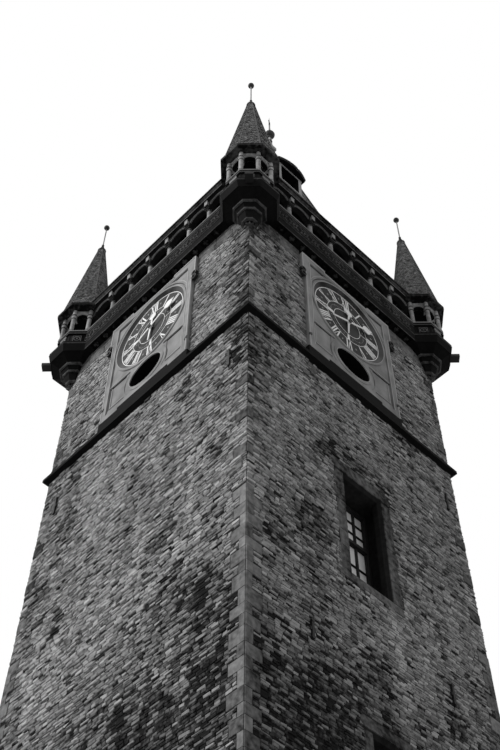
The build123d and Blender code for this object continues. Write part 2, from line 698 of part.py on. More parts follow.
def vane():
    """A weather vane: a sleeve that turns on the rod, closed at the top, with a swallow-tailed flag."""
    sleeve = Pos(0, 0, VANE_FOOT) * extrude(Circle(VANE_SLEEVE_RADIUS), amount=VANE_SLEEVE + VANE_PLATE)
    bore = extrude(Circle(ROD_RADIUS + ARBOR_CLEARANCE), amount=VANE_SLEEVE + ARBOR_CLEARANCE)
    middle = VANE_FOOT + VANE_SLEEVE / 2
    low = middle - VANE_HEIGHT / 2
    high = middle + VANE_HEIGHT / 2
    notch = VANE_LENGTH - VANE_NOTCH
    flag = Polyline((0, low), (VANE_LENGTH, low), (notch, middle), (VANE_LENGTH, high), (0, high), close=True)
    plate = extrude(Plane.XZ * make_face(flag), amount=VANE_PLATE / 2, both=True)
    pointer = Pos(-VANE_POINTER / 2, 0, middle) * Box(VANE_POINTER, VANE_BAR, VANE_BAR)
    spike_foot = VANE_ROD_TOP + VANE_PLATE
    spike_height = VANE_TIP - spike_foot
    spike = Pos(0, 0, spike_foot + spike_height / 2) * Cone(VANE_PLATE, VANE_SPIKE_TIP, spike_height)
    solid = sleeve + plate + pointer + spike - Pos(0, 0, VANE_FOOT) * bore
    return Rot(0, 0, VANE_TURN) * solid


def both_sides(shape):
    """A shape and its mirror image across the middle of a face."""
    return shape + mirror(shape, Plane.YZ)


def clock_panel():
    """The plaster panel round a dial: a slab in an eared frame, with sunk fields and round mouldings."""
    wide = PANEL_HALF_WIDTH
    front = -PANEL_THICKNESS - FRAME_PROUD
    inner = wide - FRAME_WIDTH
    middle = PANEL_MIDDLE_HALF_WIDTH
    middle_top = PANEL_TOP - PANEL_MIDDLE_DROP
    field_top = middle_top - FRAME_RAIL
    solid = block(-wide, wide, front, 0, BASE_TOP, middle_top)
    solid += both_sides(block(middle, PANEL_EAR_HALF_WIDTH, front, 0, PANEL_EAR_FOOT, PANEL_TOP))
    solid -= block(-inner, inner, front - 1, -PANEL_THICKNESS, FIELD_FOOT, field_top)
    sunk_face = SUNK_FIELD_DEPTH - PANEL_THICKNESS
    sunk = block(SUNK_FIELD_INNER, inner, -PANEL_THICKNESS, sunk_face, SUNK_FIELD_FOOT, SUNK_FIELD_TOP)
    solid -= both_sides(sunk)
    rim = Ellipse(OCULUS_HALF_WIDTH + OCULUS_RIM, OCULUS_HALF_HEIGHT + OCULUS_RIM)
    solid += Pos(0, 0, OCULUS_LEVEL) * extrude(Plane.XZ * rim, amount=PANEL_THICKNESS + OCULUS_RIM_PROUD)
    hood = Circle(HOOD_RADIUS + HOOD_WIDTH) - Circle(HOOD_RADIUS)
    hood = Pos(0, 0, DIAL_LEVEL) * extrude(Plane.XZ * hood, amount=PANEL_THICKNESS + HOOD_PROUD)
    solid += hood & block(-inner, inner, front, 0, DIAL_LEVEL + HOOD_FOOT, field_top)
    roll = extrude(Plane.XZ * Circle(RING_RADIUS + RING_WIDTH), amount=PANEL_THICKNESS + RING_PROUD)
    solid += Pos(0, 0, DIAL_LEVEL) * roll & block(-inner, inner, front, 0, BASE_TOP, field_top)
    solid -= Pos(0, 0, DIAL_LEVEL) * dial_hole()
    solid -= oculus_tool(-2 * PANEL_THICKNESS, 1)
    return solid - panel_base()


def dial_hole():
    """The splayed round hole in a panel, with a straight seat for the dial at the wall."""
    depth = PANEL_THICKNESS + RING_PROUD - DIAL_THICKNESS
    seat_radius = DIAL_RADIUS + DIAL_CLEARANCE
    splay = Pos(0, -DIAL_THICKNESS - depth / 2, 0) * Rot(90, 0, 0) * Cone(seat_radius, RING_RADIUS, depth)
    return splay + extrude(Plane.XZ * Circle(seat_radius), amount=DIAL_THICKNESS)


def dial():
    """The round dial plate with the fixed arbor that the hands turn on."""
    plate = extrude(Plane.XZ * Circle(DIAL_RADIUS), amount=DIAL_THICKNESS)
    arbor = extrude(Plane.XZ * Circle(ARBOR_RADIUS), amount=ARBOR_END)
    cap = Pos(0, -ARBOR_END, 0) * extrude(Plane.XZ * Circle(ARBOR_CAP_RADIUS), amount=ARBOR_CAP)
    return Pos(0, 0, DIAL_LEVEL) * (plate + arbor + cap)


def hand_plate(outline, back, turn):
    """A flat hand cut to an outline that points up, with its hub, turned to the time shown."""
    sketch = outline + Circle(HUB_RADIUS) - Circle(ARBOR_RADIUS + ARBOR_CLEARANCE)
    solid = Pos(0, -back, 0) * extrude(Plane.XZ * sketch, amount=HAND_THICKNESS)
    return Pos(0, 0, DIAL_LEVEL) * Rot(0, turn, 0) * solid


def hand(back, turn, root, neck, end, head, shoulder, belly, tip, tail):
    """A hand with a slender neck, a leaf-shaped head and a long thin tail."""
    half = neck / 2
    nose = shoulder + (tip - shoulder) * HEAD_NOSE
    right_side = [(root / 2, 0), (half, head)]
    left_side = [(-half, head), (-root / 2, 0)]
    bar = Polyline((-end / 2, -tail), (end / 2, -tail), *right_side, *left_side, close=True)
    left = Spline((-half, head), (-belly, shoulder), (-half, nose))
    right = Spline((half, nose), (belly, shoulder), (half, head))
    point = Polyline((-half, nose), (0, tip), (half, nose))
    leaf = left + point + right + Line((half, head), (-half, head))
    return hand_plate(make_face(bar) + make_face(leaf), back, turn)


def casement(head, height, width):
    """A window frame with a mullion and a high transom, in the rebate behind the surround."""
    y0 = WINDOW_REVEAL
    y1 = y0 + CASEMENT_DEPTH
    bars = 2 * CASEMENT_BAR
    wide = rebate_width(width)
    frame = window_tool(head, height, wide, y0, y1)
    frame -= window_tool(head - CASEMENT_BAR, height - bars, wide - bars, y0 - 1, y1 + 1)
    frame += window_tool(head, height, CASEMENT_MULLION, y0, y1)
    transom = head - height * (1 - CASEMENT_TRANSOM_AT) + CASEMENT_TRANSOM / 2
    frame += window_tool(transom, CASEMENT_TRANSOM, wide, y0, y1)
    return frame


def window_pane(head, height, width):
    """The glass of one window, behind its frame."""
    y0 = WINDOW_REVEAL + CASEMENT_DEPTH
    return window_tool(head, height, rebate_width(width), y0, y0 + GLASS)


def door():
    """The boarded door leaf, closed in its arched doorway."""
    depths = (DOOR_REVEAL, DOOR_REVEAL + DOOR_LEAF)
    return on_face(arch_prism(DOOR_WIDTH, FLOOR_LEVELS[0], DOOR_SPRINGING, *depths), "east")


def floors():
    """The floors of the rooms and of the gallery, inside the walls."""
    levels = FLOOR_LEVELS + [BAND_FOOT]
    return [storey(-WALL, level - FLOOR_THICKNESS, level) for level in levels]


def write(shapes, node):
    """Write one node from a shape or a list of shapes."""
    solids = []
    for shape in shapes if isinstance(shapes, list) else [shapes]:
        solids += shape.solids()
    part = solids[0] if len(solids) == 1 else Compound(children=solids)
    export_step(part, f"parts/{node}.step")


def main():
    os.makedirs("parts", exist_ok=True)
    whole_shaft = shaft()
    for face in FACES:
        write(side_of(whole_shaft, face, WALL), f"{face}_wall")
        write(arches(face), f"{face}_arches")
        write(on_face(clock_panel(), face), f"{face}_clock_panel")
        write(on_face(dial(), face), f"{face}_dial")
        minute = hand(MINUTE_BACK, MINUTE_SHOWN * MINUTE_ANGLE, **MINUTE_HAND)
        hour = hand(HOUR_BACK, HOUR_SHOWN * HOUR_ANGLE, **HOUR_HAND)
        write(on_face(minute, face), f"{face}_minute_hand")
        write(on_face(hour, face), f"{face}_hour_hand")
    write(string_course(), "string_course")
    write(corbel_table(), "corbel_table")
    write(parapets(), "parapets")
    write([on_face(Pos(x, 0, 0) * gallery_column(), face) for face in FACES for x in column_places()],
          "gallery_columns")
    write(eaves_cornice(), "eaves_cornice")
    write([panelled_base(sx, sy) for sx, sy in CORNERS], "turret_bases")
    write([Pos(sx * TURRET_X, sy * TURRET_Y, 0) * place * round_column(PIER_SIZE)
           for sx, sy in CORNERS for place in pier_places(PIER_RADIUS)], "turret_columns")
    write(at_turrets(lantern_arches()), "turret_arches")
    write(at_turrets(turret_spire()), "turret_spires")
    write([turret_spout(sx, sy) for sx, sy in CORNERS], "water_spouts")
    write(main_roof(), "main_roof")
    for name, turn, x in (("east", 0, FINIAL_X), ("west", 180, -FINIAL_X)):
        write(Rot(0, 0, turn) * dormer(), f"{name}_dormer")
        write(Pos(x, 0, 0) * vane(), f"{name}_weather_vane")
    ridge = [Rot(0, 0, turn) * ridge_finial() for turn in (0, 180)]
    write(ridge + at_turrets(turret_finial()), "finials")
    rows = [(face, row) for face in ("east", "west") for row in WINDOW_ROWS]
    write([on_face(casement(*row), face) for face, row in rows], "window_frames")
    write([on_face(window_pane(*row), face) for face, row in rows], "window_glass")
    write(door(), "door")
    write(floors(), "floors")


main()
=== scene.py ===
import logging
import math
import random
from dataclasses import dataclass, field
from enum import Enum
from typing import Any, Iterable

import bpy
from mathutils import Matrix, Vector, noise


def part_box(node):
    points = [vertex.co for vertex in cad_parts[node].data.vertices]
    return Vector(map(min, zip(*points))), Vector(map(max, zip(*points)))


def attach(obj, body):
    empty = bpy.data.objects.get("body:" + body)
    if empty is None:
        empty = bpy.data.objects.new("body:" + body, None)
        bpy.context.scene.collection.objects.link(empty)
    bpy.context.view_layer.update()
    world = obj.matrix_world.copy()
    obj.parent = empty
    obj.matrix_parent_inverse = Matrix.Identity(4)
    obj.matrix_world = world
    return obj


log = logging.getLogger("clock_tower")
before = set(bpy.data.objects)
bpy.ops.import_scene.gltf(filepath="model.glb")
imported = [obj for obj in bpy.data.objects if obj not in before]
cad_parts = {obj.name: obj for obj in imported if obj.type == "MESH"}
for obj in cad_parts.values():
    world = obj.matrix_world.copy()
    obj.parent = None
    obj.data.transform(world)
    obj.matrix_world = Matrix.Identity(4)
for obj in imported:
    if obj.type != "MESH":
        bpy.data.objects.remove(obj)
BODY = "tower"

Point = tuple[float, float, float]
Outline = list[Point]


class Side(Enum):
    """The four faces of the tower, by their quarter turns from the front."""

    FRONT = 0
    EAST = 1
    REAR = 2
    WEST = 3

    @property
    def label(self) -> str:
        """The face's name, as the frame's nodes use it."""
        return self.name.lower()

    def turn(self) -> Matrix:
        """The turn that brings the front face to this one."""
        return Matrix.Rotation(math.radians(90 * self.value), 4, "Z")

    def place(self, distance: float) -> Matrix:
        """Brings a shape made on the plane y = 0, facing -Y, onto this face.

        Args:
            distance: how far the face lies from the tower's axis, in metres.

        Returns:
            The matrix that turns and moves it.
        """
        return self.turn() @ Matrix.Translation((0, -distance, 0))


class Joint(Enum):
    """How the edge of a laid stone is dressed."""

    ROUGH = 0.90
    DRESSED = 0.985


@dataclass(frozen=True)
class Rect:
    """An upright rectangle on a face, in metres: across from x0 to x1 and up from z0 to z1."""

    x0: float
    x1: float
    z0: float
    z1: float

    def crosses(self, z0: float, z1: float) -> bool:
        """Whether a course between two levels meets the rectangle."""
        return self.z0 < z1 and self.z1 > z0


@dataclass(frozen=True)
class TowerSizes:
    """The sizes that the dressing takes from the frame, in metres."""

    half_x: float
    half_y: float
    string_foot: float
    string_top: float
    wall_top: float
    panel_half: float
    panel_ear_half: float
    panel_foot: float
    panel_top: float
    dial_level: float

    STRING_HEIGHT = 0.19
    PANEL_HALF = 1.29

    @classmethod
    def from_frame(cls) -> "TowerSizes":
        """Reads the sizes off the CAD nodes' boxes."""
        panel_low, panel_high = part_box("east_clock_panel")
        dial_low, dial_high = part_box("front_dial")
        string_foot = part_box("string_course")[0].z
        return cls(
            half_x=panel_low.x,
            half_y=-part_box("front_clock_panel")[1].y,
            string_foot=string_foot,
            string_top=string_foot + cls.STRING_HEIGHT,
            wall_top=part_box("front_wall")[1].z,
            panel_half=cls.PANEL_HALF,
            panel_ear_half=panel_high.y,
            panel_foot=string_foot,
            panel_top=panel_high.z,
            dial_level=(dial_low.z + dial_high.z) / 2,
        )

    def distance(self, side: Side) -> float:
        """How far a face lies from the axis."""
        return self.half_y if side in (Side.FRONT, Side.REAR) else self.half_x

    def stand(self, side: Side) -> Matrix:
        """Brings a shape made on the plane y = 0 onto a face of the tower."""
        return side.place(self.distance(side))

    def half_length(self, side: Side) -> float:
        """Half of a face's length."""
        return self.half_x if side in (Side.FRONT, Side.REAR) else self.half_y


# Half the turn from one flat of an octagon to the next, in degrees, and its corners' reach for its flats'
CORNER = 22.5
GROW = 1 / math.cos(math.radians(CORNER))


@dataclass(frozen=True)
class RoofSizes:
    """Where the roof, the turrets and the spires stand, in metres.

    A level of the roof is half its width along X, half its width along Y and its height.
    """

    eave: Point = (3.120, 3.030, 24.158)
    foot: Point = (2.374, 2.230, 24.452)
    ridge: Point = (0.821, 0.030, 32.374)
    turret_x: float = 2.830
    turret_y: float = 2.740
    spire_foot: float = 24.085
    spire_radius: float = 0.572
    spire_tip: float = 0.080
    spire_top: float = 27.600

    def turrets(self) -> list[tuple[float, float]]:
        """The middles of the four turrets."""
        return [(sx * self.turret_x, sy * self.turret_y) for sx in (-1, 1) for sy in (-1, 1)]


def linear(code: str) -> tuple[float, float, float, float]:
    """Turns an sRGB hex colour into the linear one that Blender takes.

    Args:
        code: the colour, such as "#898989".

    Returns:
        Red, green, blue and alpha.
    """
    parts = [int(code[i:i + 2], 16) / 255 for i in (1, 3, 5)]
    turned = [c / 12.92 if c <= 0.04045 else ((c + 0.055) / 1.055) ** 2.4 for c in parts]
    return (turned[0], turned[1], turned[2], 1.0)


def add(tree: bpy.types.NodeTree, kind: str, inputs: dict[Any, Any] | None = None, **settings: Any) -> Any:
    """Adds one node, with its settings and its inputs.

    Args:
        tree: the tree that the node goes into.
        kind: the node's type name.
        inputs: a value or an output socket for each input, by its name or number.
        **settings: properties of the node itself.

    Returns:
        The node.
    """
    made = tree.nodes.new(kind)
    for key, value in settings.items():
        setattr(made, key, value)
    for key, value in (inputs or {}).items():
        if isinstance(value, bpy.types.NodeSocket):
            tree.links.new(value, made.inputs[key])
        else:
            made.inputs[key].default_value = value
    return made


@dataclass(frozen=True)
class Finish:
    """A surface finish. Each kind of it adds its own pattern in dress()."""

    name: str

    def make(self) -> bpy.types.Material:
        """Builds the material, once for each name."""
        known = bpy.data.materials.get(self.name)
        if known:
            return known
        material = bpy.data.materials.new(self.name)
        material.use_nodes = True
        tree = material.node_tree
        tree.nodes.clear()
        shader = add(tree, "ShaderNodeBsdfPrincipled")
        add(tree, "ShaderNodeOutputMaterial", {"Surface": shader.outputs[0]})
        self.dress(tree, shader)
        return material

    def dress(self, tree: bpy.types.NodeTree, shader: Any) -> None:
        """Sets the shader's inputs; the plain finish leaves them."""


@dataclass(frozen=True)
class StoneFinish(Finish):
    """Stone between a dark and a light colour, mottled, grained and stained by the weather.

    A laid stone's own tone comes from the mesh; solid work without laid stones takes an even tone.
    """

    dark: str = "#3c3c3c"
    light: str = "#a3a3a3"
    mottle_mm: float = 90.0
    grain_mm: float = 9.0
    mottle: float = 0.35
    relief: float = 0.6
    depth: float = 0.004
    roughness: float = 0.9
    laid: bool = True
    even_tone: float = 0.5
    block_mm: tuple[float, float] | None = None
    shine: float = 0.08

    # Rain streaks are noise cells about 450 mm across and ten times as tall
    STREAKS = (2.2, 2.2, 0.22)
    GRAIN_SHARE = 0.35
    # Joints between blocks: their width in metres, depth and shade, and the shade of the darker blocks
    JOINT_WIDTH = 0.004
    JOINT_DEPTH = -1.5
    JOINT_SHADE = (0.28, 0.28, 0.28, 1)
    BLOCK_SHADE = (0.72, 0.72, 0.72, 1)

    def dress(self, tree: bpy.types.NodeTree, shader: Any) -> None:
        """Mixes the two colours by the stone's tone, a mottle, streaks and the joints, if it has any.

        Args:
            tree: the material's tree.
            shader: its surface shader.
        """
        place = add(tree, "ShaderNodeTexCoord").outputs["Object"]
        if self.laid:
            tone = add(tree, "ShaderNodeAttribute", attribute_name="tone").outputs["Fac"]
        else:
            tone = add(tree, "ShaderNodeValue").outputs[0]
            tone.default_value = self.even_tone
        mottle = add(tree, "ShaderNodeTexNoise", {"Vector": place, "Scale": 1000 / self.mottle_mm, "Detail": 5.0})
        grain = add(tree, "ShaderNodeTexNoise", {"Vector": place, "Scale": 1000 / self.grain_mm, "Detail": 3.0})
        stretched = add(tree, "ShaderNodeMapping", {"Vector": place, "Scale": self.STREAKS})
        streak = add(tree, "ShaderNodeTexNoise", {"Vector": stretched.outputs[0], "Scale": 1.0, "Detail": 4.0})
        blotch = add(tree, "ShaderNodeMath", {0: mottle.outputs["Fac"], 1: streak.outputs["Fac"]}, operation="ADD")
        shift = add(tree, "ShaderNodeMath", {0: blotch.outputs[0], 1: 1.0}, operation="SUBTRACT")
        shade = add(tree, "ShaderNodeMath", {0: shift.outputs[0], 1: self.mottle, 2: tone}, operation="MULTIPLY_ADD")
        colour = add(tree, "ShaderNodeMix", {"Factor": shade.outputs[0], "A": linear(self.dark),
                                             "B": linear(self.light)}, data_type="RGBA")
        height = add(tree, "ShaderNodeMath", {0: grain.outputs["Fac"], 1: self.GRAIN_SHARE,
                                              2: mottle.outputs["Fac"]}, operation="MULTIPLY_ADD")
        surface, relief = colour.outputs["Result"], height.outputs[0]
        if self.block_mm:
            surface, relief = self.jointed(tree, place, surface, relief)
        bump = add(tree, "ShaderNodeBump", {"Height": relief, "Strength": self.relief, "Distance": self.depth})
        tree.links.new(surface, shader.inputs["Base Color"])
        tree.links.new(bump.outputs[0], shader.inputs["Normal"])
        shader.inputs["Roughness"].default_value = self.roughness
        shader.inputs["Specular IOR Level"].default_value = self.shine

    def jointed(self, tree: bpy.types.NodeTree, place: Any, surface: Any, relief: Any) -> tuple[Any, Any]:
        """Draws thin joints between blocks, along either upright face.

        Args:
            tree: the material's tree.
            place: the object coordinates.
            surface: the stone's colour.
            relief: the stone's height.

        Returns:
            The colour and height with the joints.
        """
        length, height = self.block_mm
        parts = add(tree, "ShaderNodeSeparateXYZ", {0: place})
        along = add(tree, "ShaderNodeMath", {0: parts.outputs[0], 1: parts.outputs[1]}, operation="ADD")
        flat = add(tree, "ShaderNodeCombineXYZ", {0: along.outputs[0], 1: parts.outputs[2]})
        joints = add(tree, "ShaderNodeTexBrick", {
            "Vector": flat.outputs[0], "Scale": 1.0, "Mortar Size": self.JOINT_WIDTH, "Mortar Smooth": 0.2,
            "Bias": -0.4, "Brick Width": length / 1000, "Row Height": height / 1000, "Color1": (1, 1, 1, 1),
            "Color2": self.BLOCK_SHADE, "Mortar": self.JOINT_SHADE})
        toned = add(tree, "ShaderNodeMix", {"Factor": 1.0, "A": surface, "B": joints.outputs["Color"]},
                    data_type="RGBA", blend_type="MULTIPLY")
        sunk = add(tree, "ShaderNodeMath", {0: joints.outputs["Fac"], 1: self.JOINT_DEPTH, 2: relief},
                   operation="MULTIPLY_ADD")
        return toned.outputs["Result"], sunk.outputs[0]


@dataclass(frozen=True)
class MetalFinish(Finish):
    """Metal or paint on metal, with a little dirt that dulls it."""

    clean: str = "#3a3a3a"
    dirt: str = "#1c1c1c"
    metallic: float = 0.0
    roughness: float = 0.5
    dirt_mm: float = 60.0
    dirt_share: float = 0.35
    shine: float = 0.2

    def dress(self, tree: bpy.types.NodeTree, shader: Any) -> None:
        """Mixes the clean colour with dirt and sets how rough both are.

        Args:
            tree: the material's tree.
            shader: its surface shader.
        """
        place = add(tree, "ShaderNodeTexCoord").outputs["Object"]
        cloud = add(tree, "ShaderNodeTexNoise", {"Vector": place, "Scale": 1000 / self.dirt_mm, "Detail": 6.0})
        share = add(tree, "ShaderNodeMapRange", {"Value": cloud.outputs["Fac"], "From Min": 0.42, "From Max": 0.72,
                                                 "To Max": self.dirt_share})
        colour = add(tree, "ShaderNodeMix", {"Factor": share.outputs[0], "A": linear(self.clean),
                                             "B": linear(self.dirt)}, data_type="RGBA")
        gloss = add(tree, "ShaderNodeMapRange", {"Value": cloud.outputs["Fac"], "To Min": self.roughness - 0.1,
                                                 "To Max": self.roughness + 0.2})
        bump = add(tree, "ShaderNodeBump", {"Height": cloud.outputs["Fac"], "Strength": 0.15, "Distance": 0.001})
        tree.links.new(colour.outputs["Result"], shader.inputs["Base Color"])
        tree.links.new(gloss.outputs[0], shader.inputs["Roughness"])
        tree.links.new(bump.outputs[0], shader.inputs["Normal"])
        shader.inputs["Metallic"].default_value = self.metallic
        shader.inputs["Specular IOR Level"].default_value = self.shine


@dataclass(frozen=True)
class WoodFinish(Finish):
    """Stained timber with its grain running upwards."""

    dark: str = "#141414"
    light: str = "#2a2a2a"
    grain_mm: float = 14.0
    roughness: float = 0.6
    shine: float = 0.12

    def dress(self, tree: bpy.types.NodeTree, shader: Any) -> None:
        """Stretches a noise along the grain for the colour and the relief.

        Args:
            tree: the material's tree.
            shader: its surface shader.
        """
        place = add(tree, "ShaderNodeTexCoord").outputs["Object"]
        run = add(tree, "ShaderNodeMapping", {"Vector": place, "Scale": (1.0, 1.0, 0.06)})
        grain = add(tree, "ShaderNodeTexNoise", {"Vector": run.outputs[0], "Scale": 1000 / self.grain_mm,
                                                 "Detail": 6.0})
        colour = add(tree, "ShaderNodeMix", {"Factor": grain.outputs["Fac"], "A": linear(self.dark),
                                             "B": linear(self.light)}, data_type="RGBA")
        bump = add(tree, "ShaderNodeBump", {"Height": grain.outputs["Fac"], "Strength": 0.4, "Distance": 0.002})
        tree.links.new(colour.outputs["Result"], shader.inputs["Base Color"])
        tree.links.new(bump.outputs[0], shader.inputs["Normal"])
        shader.inputs["Roughness"].default_value = self.roughness
        shader.inputs["Specular IOR Level"].default_value = self.shine


@dataclass(frozen=True)
class GlassFinish(Finish):
    """Old window glass, slightly wavy, painted pale as the light that its panes show."""

    colour: str = "#e6e6e6"
    roughness: float = 0.15
    wave_mm: float = 160.0
    shine: float = 0.5

    def dress(self, tree: bpy.types.NodeTree, shader: Any) -> None:
        """Gives a glossy pane, painted pale as light, whose reflection wavers.

        Args:
            tree: the material's tree.
            shader: its surface shader.
        """
        place = add(tree, "ShaderNodeTexCoord").outputs["Object"]
        wave = add(tree, "ShaderNodeTexNoise", {"Vector": place, "Scale": 1000 / self.wave_mm, "Detail": 2.0})
        bump = add(tree, "ShaderNodeBump", {"Height": wave.outputs["Fac"], "Strength": 0.1, "Distance": 0.004})
        shader.inputs["Base Color"].default_value = linear(self.colour)
        shader.inputs["Roughness"].default_value = self.roughness
        shader.inputs["Specular IOR Level"].default_value = self.shine
        tree.links.new(bump.outputs[0], shader.inputs["Normal"])


# Rough squared slabs of a marly limestone, split and laid dry-looking: dull, mottled, each its own grey
RUBBLE = StoneFinish("rubble_limestone", dark="#131313", light="#b3b3b3", mottle=0.6, relief=0.9, depth=0.007)
# Dressed sandstone blocks at corners and openings: evener and finer than the rubble
DRESSED = StoneFinish("dressed_sandstone", dark="#1c1c1c", light="#8d8d8d", mottle=1.1, mottle_mm=90.0, relief=0.9)
# Lime mortar between the stones, deep in shade and dirty
MORTAR = StoneFinish("lime_mortar", dark="#0c0c0c", light="#2f2f2f", mottle=0.9, laid=False, even_tone=0.3,
                     block_mm=(640.0, 290.0))
# Carved sandstone of the gallery, blackened by soot and painted near black as the shade under its cornices and
# soffits, with its block joints
SOOT_AND_SHADE = StoneFinish("sooted_and_shaded_sandstone", dark="#020202", light="#121212", mottle=0.9, mottle_mm=120.0, laid=False,
                     even_tone=0.3, block_mm=(520.0, 10000.0))
# Sandstone of the arches, in the shade of the eaves and almost as black
SHADED = StoneFinish("shaded_sandstone", dark="#060606", light="#2a2a2a", mottle=0.9, mottle_mm=110.0, laid=False,
                     even_tone=0.35)
# Near-black lining of the round openings, the lanterns' arches and the dormers: painted shade where no light reaches
SHADE_LINING = StoneFinish("painted_shade_lining", dark="#010101", light="#050505", laid=False, even_tone=0.3)
# Carved sandstone with soot in its hollows and painted light and shade: each face's tone runs from near black on
# shaded undersides to pale on lit edges
CARVED_LIGHT_SHADE = StoneFinish("carved_sandstone_lit_and_shaded", dark="#050505", light="#a7a7a7", mottle=0.35, mottle_mm=70.0, relief=0.7)
# Paler sandstone of the columns and the turrets' arches: painted light, the lit copy of the arches' shaded sandstone
PALE = StoneFinish("lit_sandstone", dark="#2c2c2c", light="#c4c4c4", mottle=0.9, mottle_mm=110.0, laid=False,
                   even_tone=0.5)
# Lime plaster of the clock panels, smooth and pale with faint stains
PLASTER = StoneFinish("lime_plaster", dark="#585858", light="#a8a8a8", mottle=0.9, mottle_mm=340.0, relief=0.15,
                      laid=False, even_tone=0.5)
# The same plaster with painted light and shade: pale beads as painted highlights, dark lines as painted shade under
# rails, fillets and the hood
PANEL_LIGHT_AND_SHADE = StoneFinish("plaster_beads_lit_and_shaded", dark="#242424", light="#bbbbbb", mottle=0.25, mottle_mm=300.0, relief=0.15)
# Natural slates, split, with a slight shine when seen flat
SLATE = StoneFinish("natural_slate", dark="#0e0e0e", light="#808080", mottle=0.45, mottle_mm=60.0, relief=0.4,
                    roughness=0.62, depth=0.002, shine=0.25)
# Boards under the slates, seen only as the gaps between them, painted near black as the shade there
UNDERLAY = StoneFinish("roof_boarding_in_shade", dark="#0a0a0a", light="#181818", laid=False, even_tone=0.4)
# Dial plate in dark grey paint on sheet metal
DIAL = MetalFinish("dial_grey_enamel", clean="#212121", dirt="#0f0f0f", roughness=0.7, dirt_mm=260.0)
# White enamel paint of the figures and hands
WHITE = MetalFinish("white_paint", clean="#e3e3e3", dirt="#a7a7a7", roughness=0.45, dirt_mm=120.0)
# Wrought iron under black paint, which hides the metal's own shine
IRON = MetalFinish("wrought_iron", clean="#101010", dirt="#1d1d1d", roughness=0.6, dirt_mm=40.0)
# Weathered sheet metal on hips, caps and balls, dull and nearly black
SHEET_METAL = MetalFinish("weathered_sheet_metal", clean="#2d2d2d", dirt="#151515", roughness=0.5, dirt_mm=90.0)
# Light weathered sheet metal of the ridge posts and spire rods
PALE_METAL = MetalFinish("pale_sheet_metal", clean="#8b8b8b", dirt="#5a5a5a", roughness=0.5, dirt_mm=90.0)
# Stained oak of the casements and the door
OAK = WoodFinish("stained_oak")
# Boards of the floors, seen only through openings
BOARDS = WoodFinish("oak_floor_boards", dark="#1a1a1a", light="#363636", grain_mm=40.0)
# Painted timber of the dormer posts
PAINTED = WoodFinish("painted_timber", dark="#6c6c6c", light="#b8b8b8", grain_mm=30.0)
# Mid grey paint of a dial's diamonds and thin arcs
GREY_PAINT = MetalFinish("grey_paint", clean="#8b8b8b", dirt="#5b5b5b", roughness=0.5, dirt_mm=120.0)
# Window glass painted pale as the light that the panes show
GLASS = GlassFinish("old_window_glass")


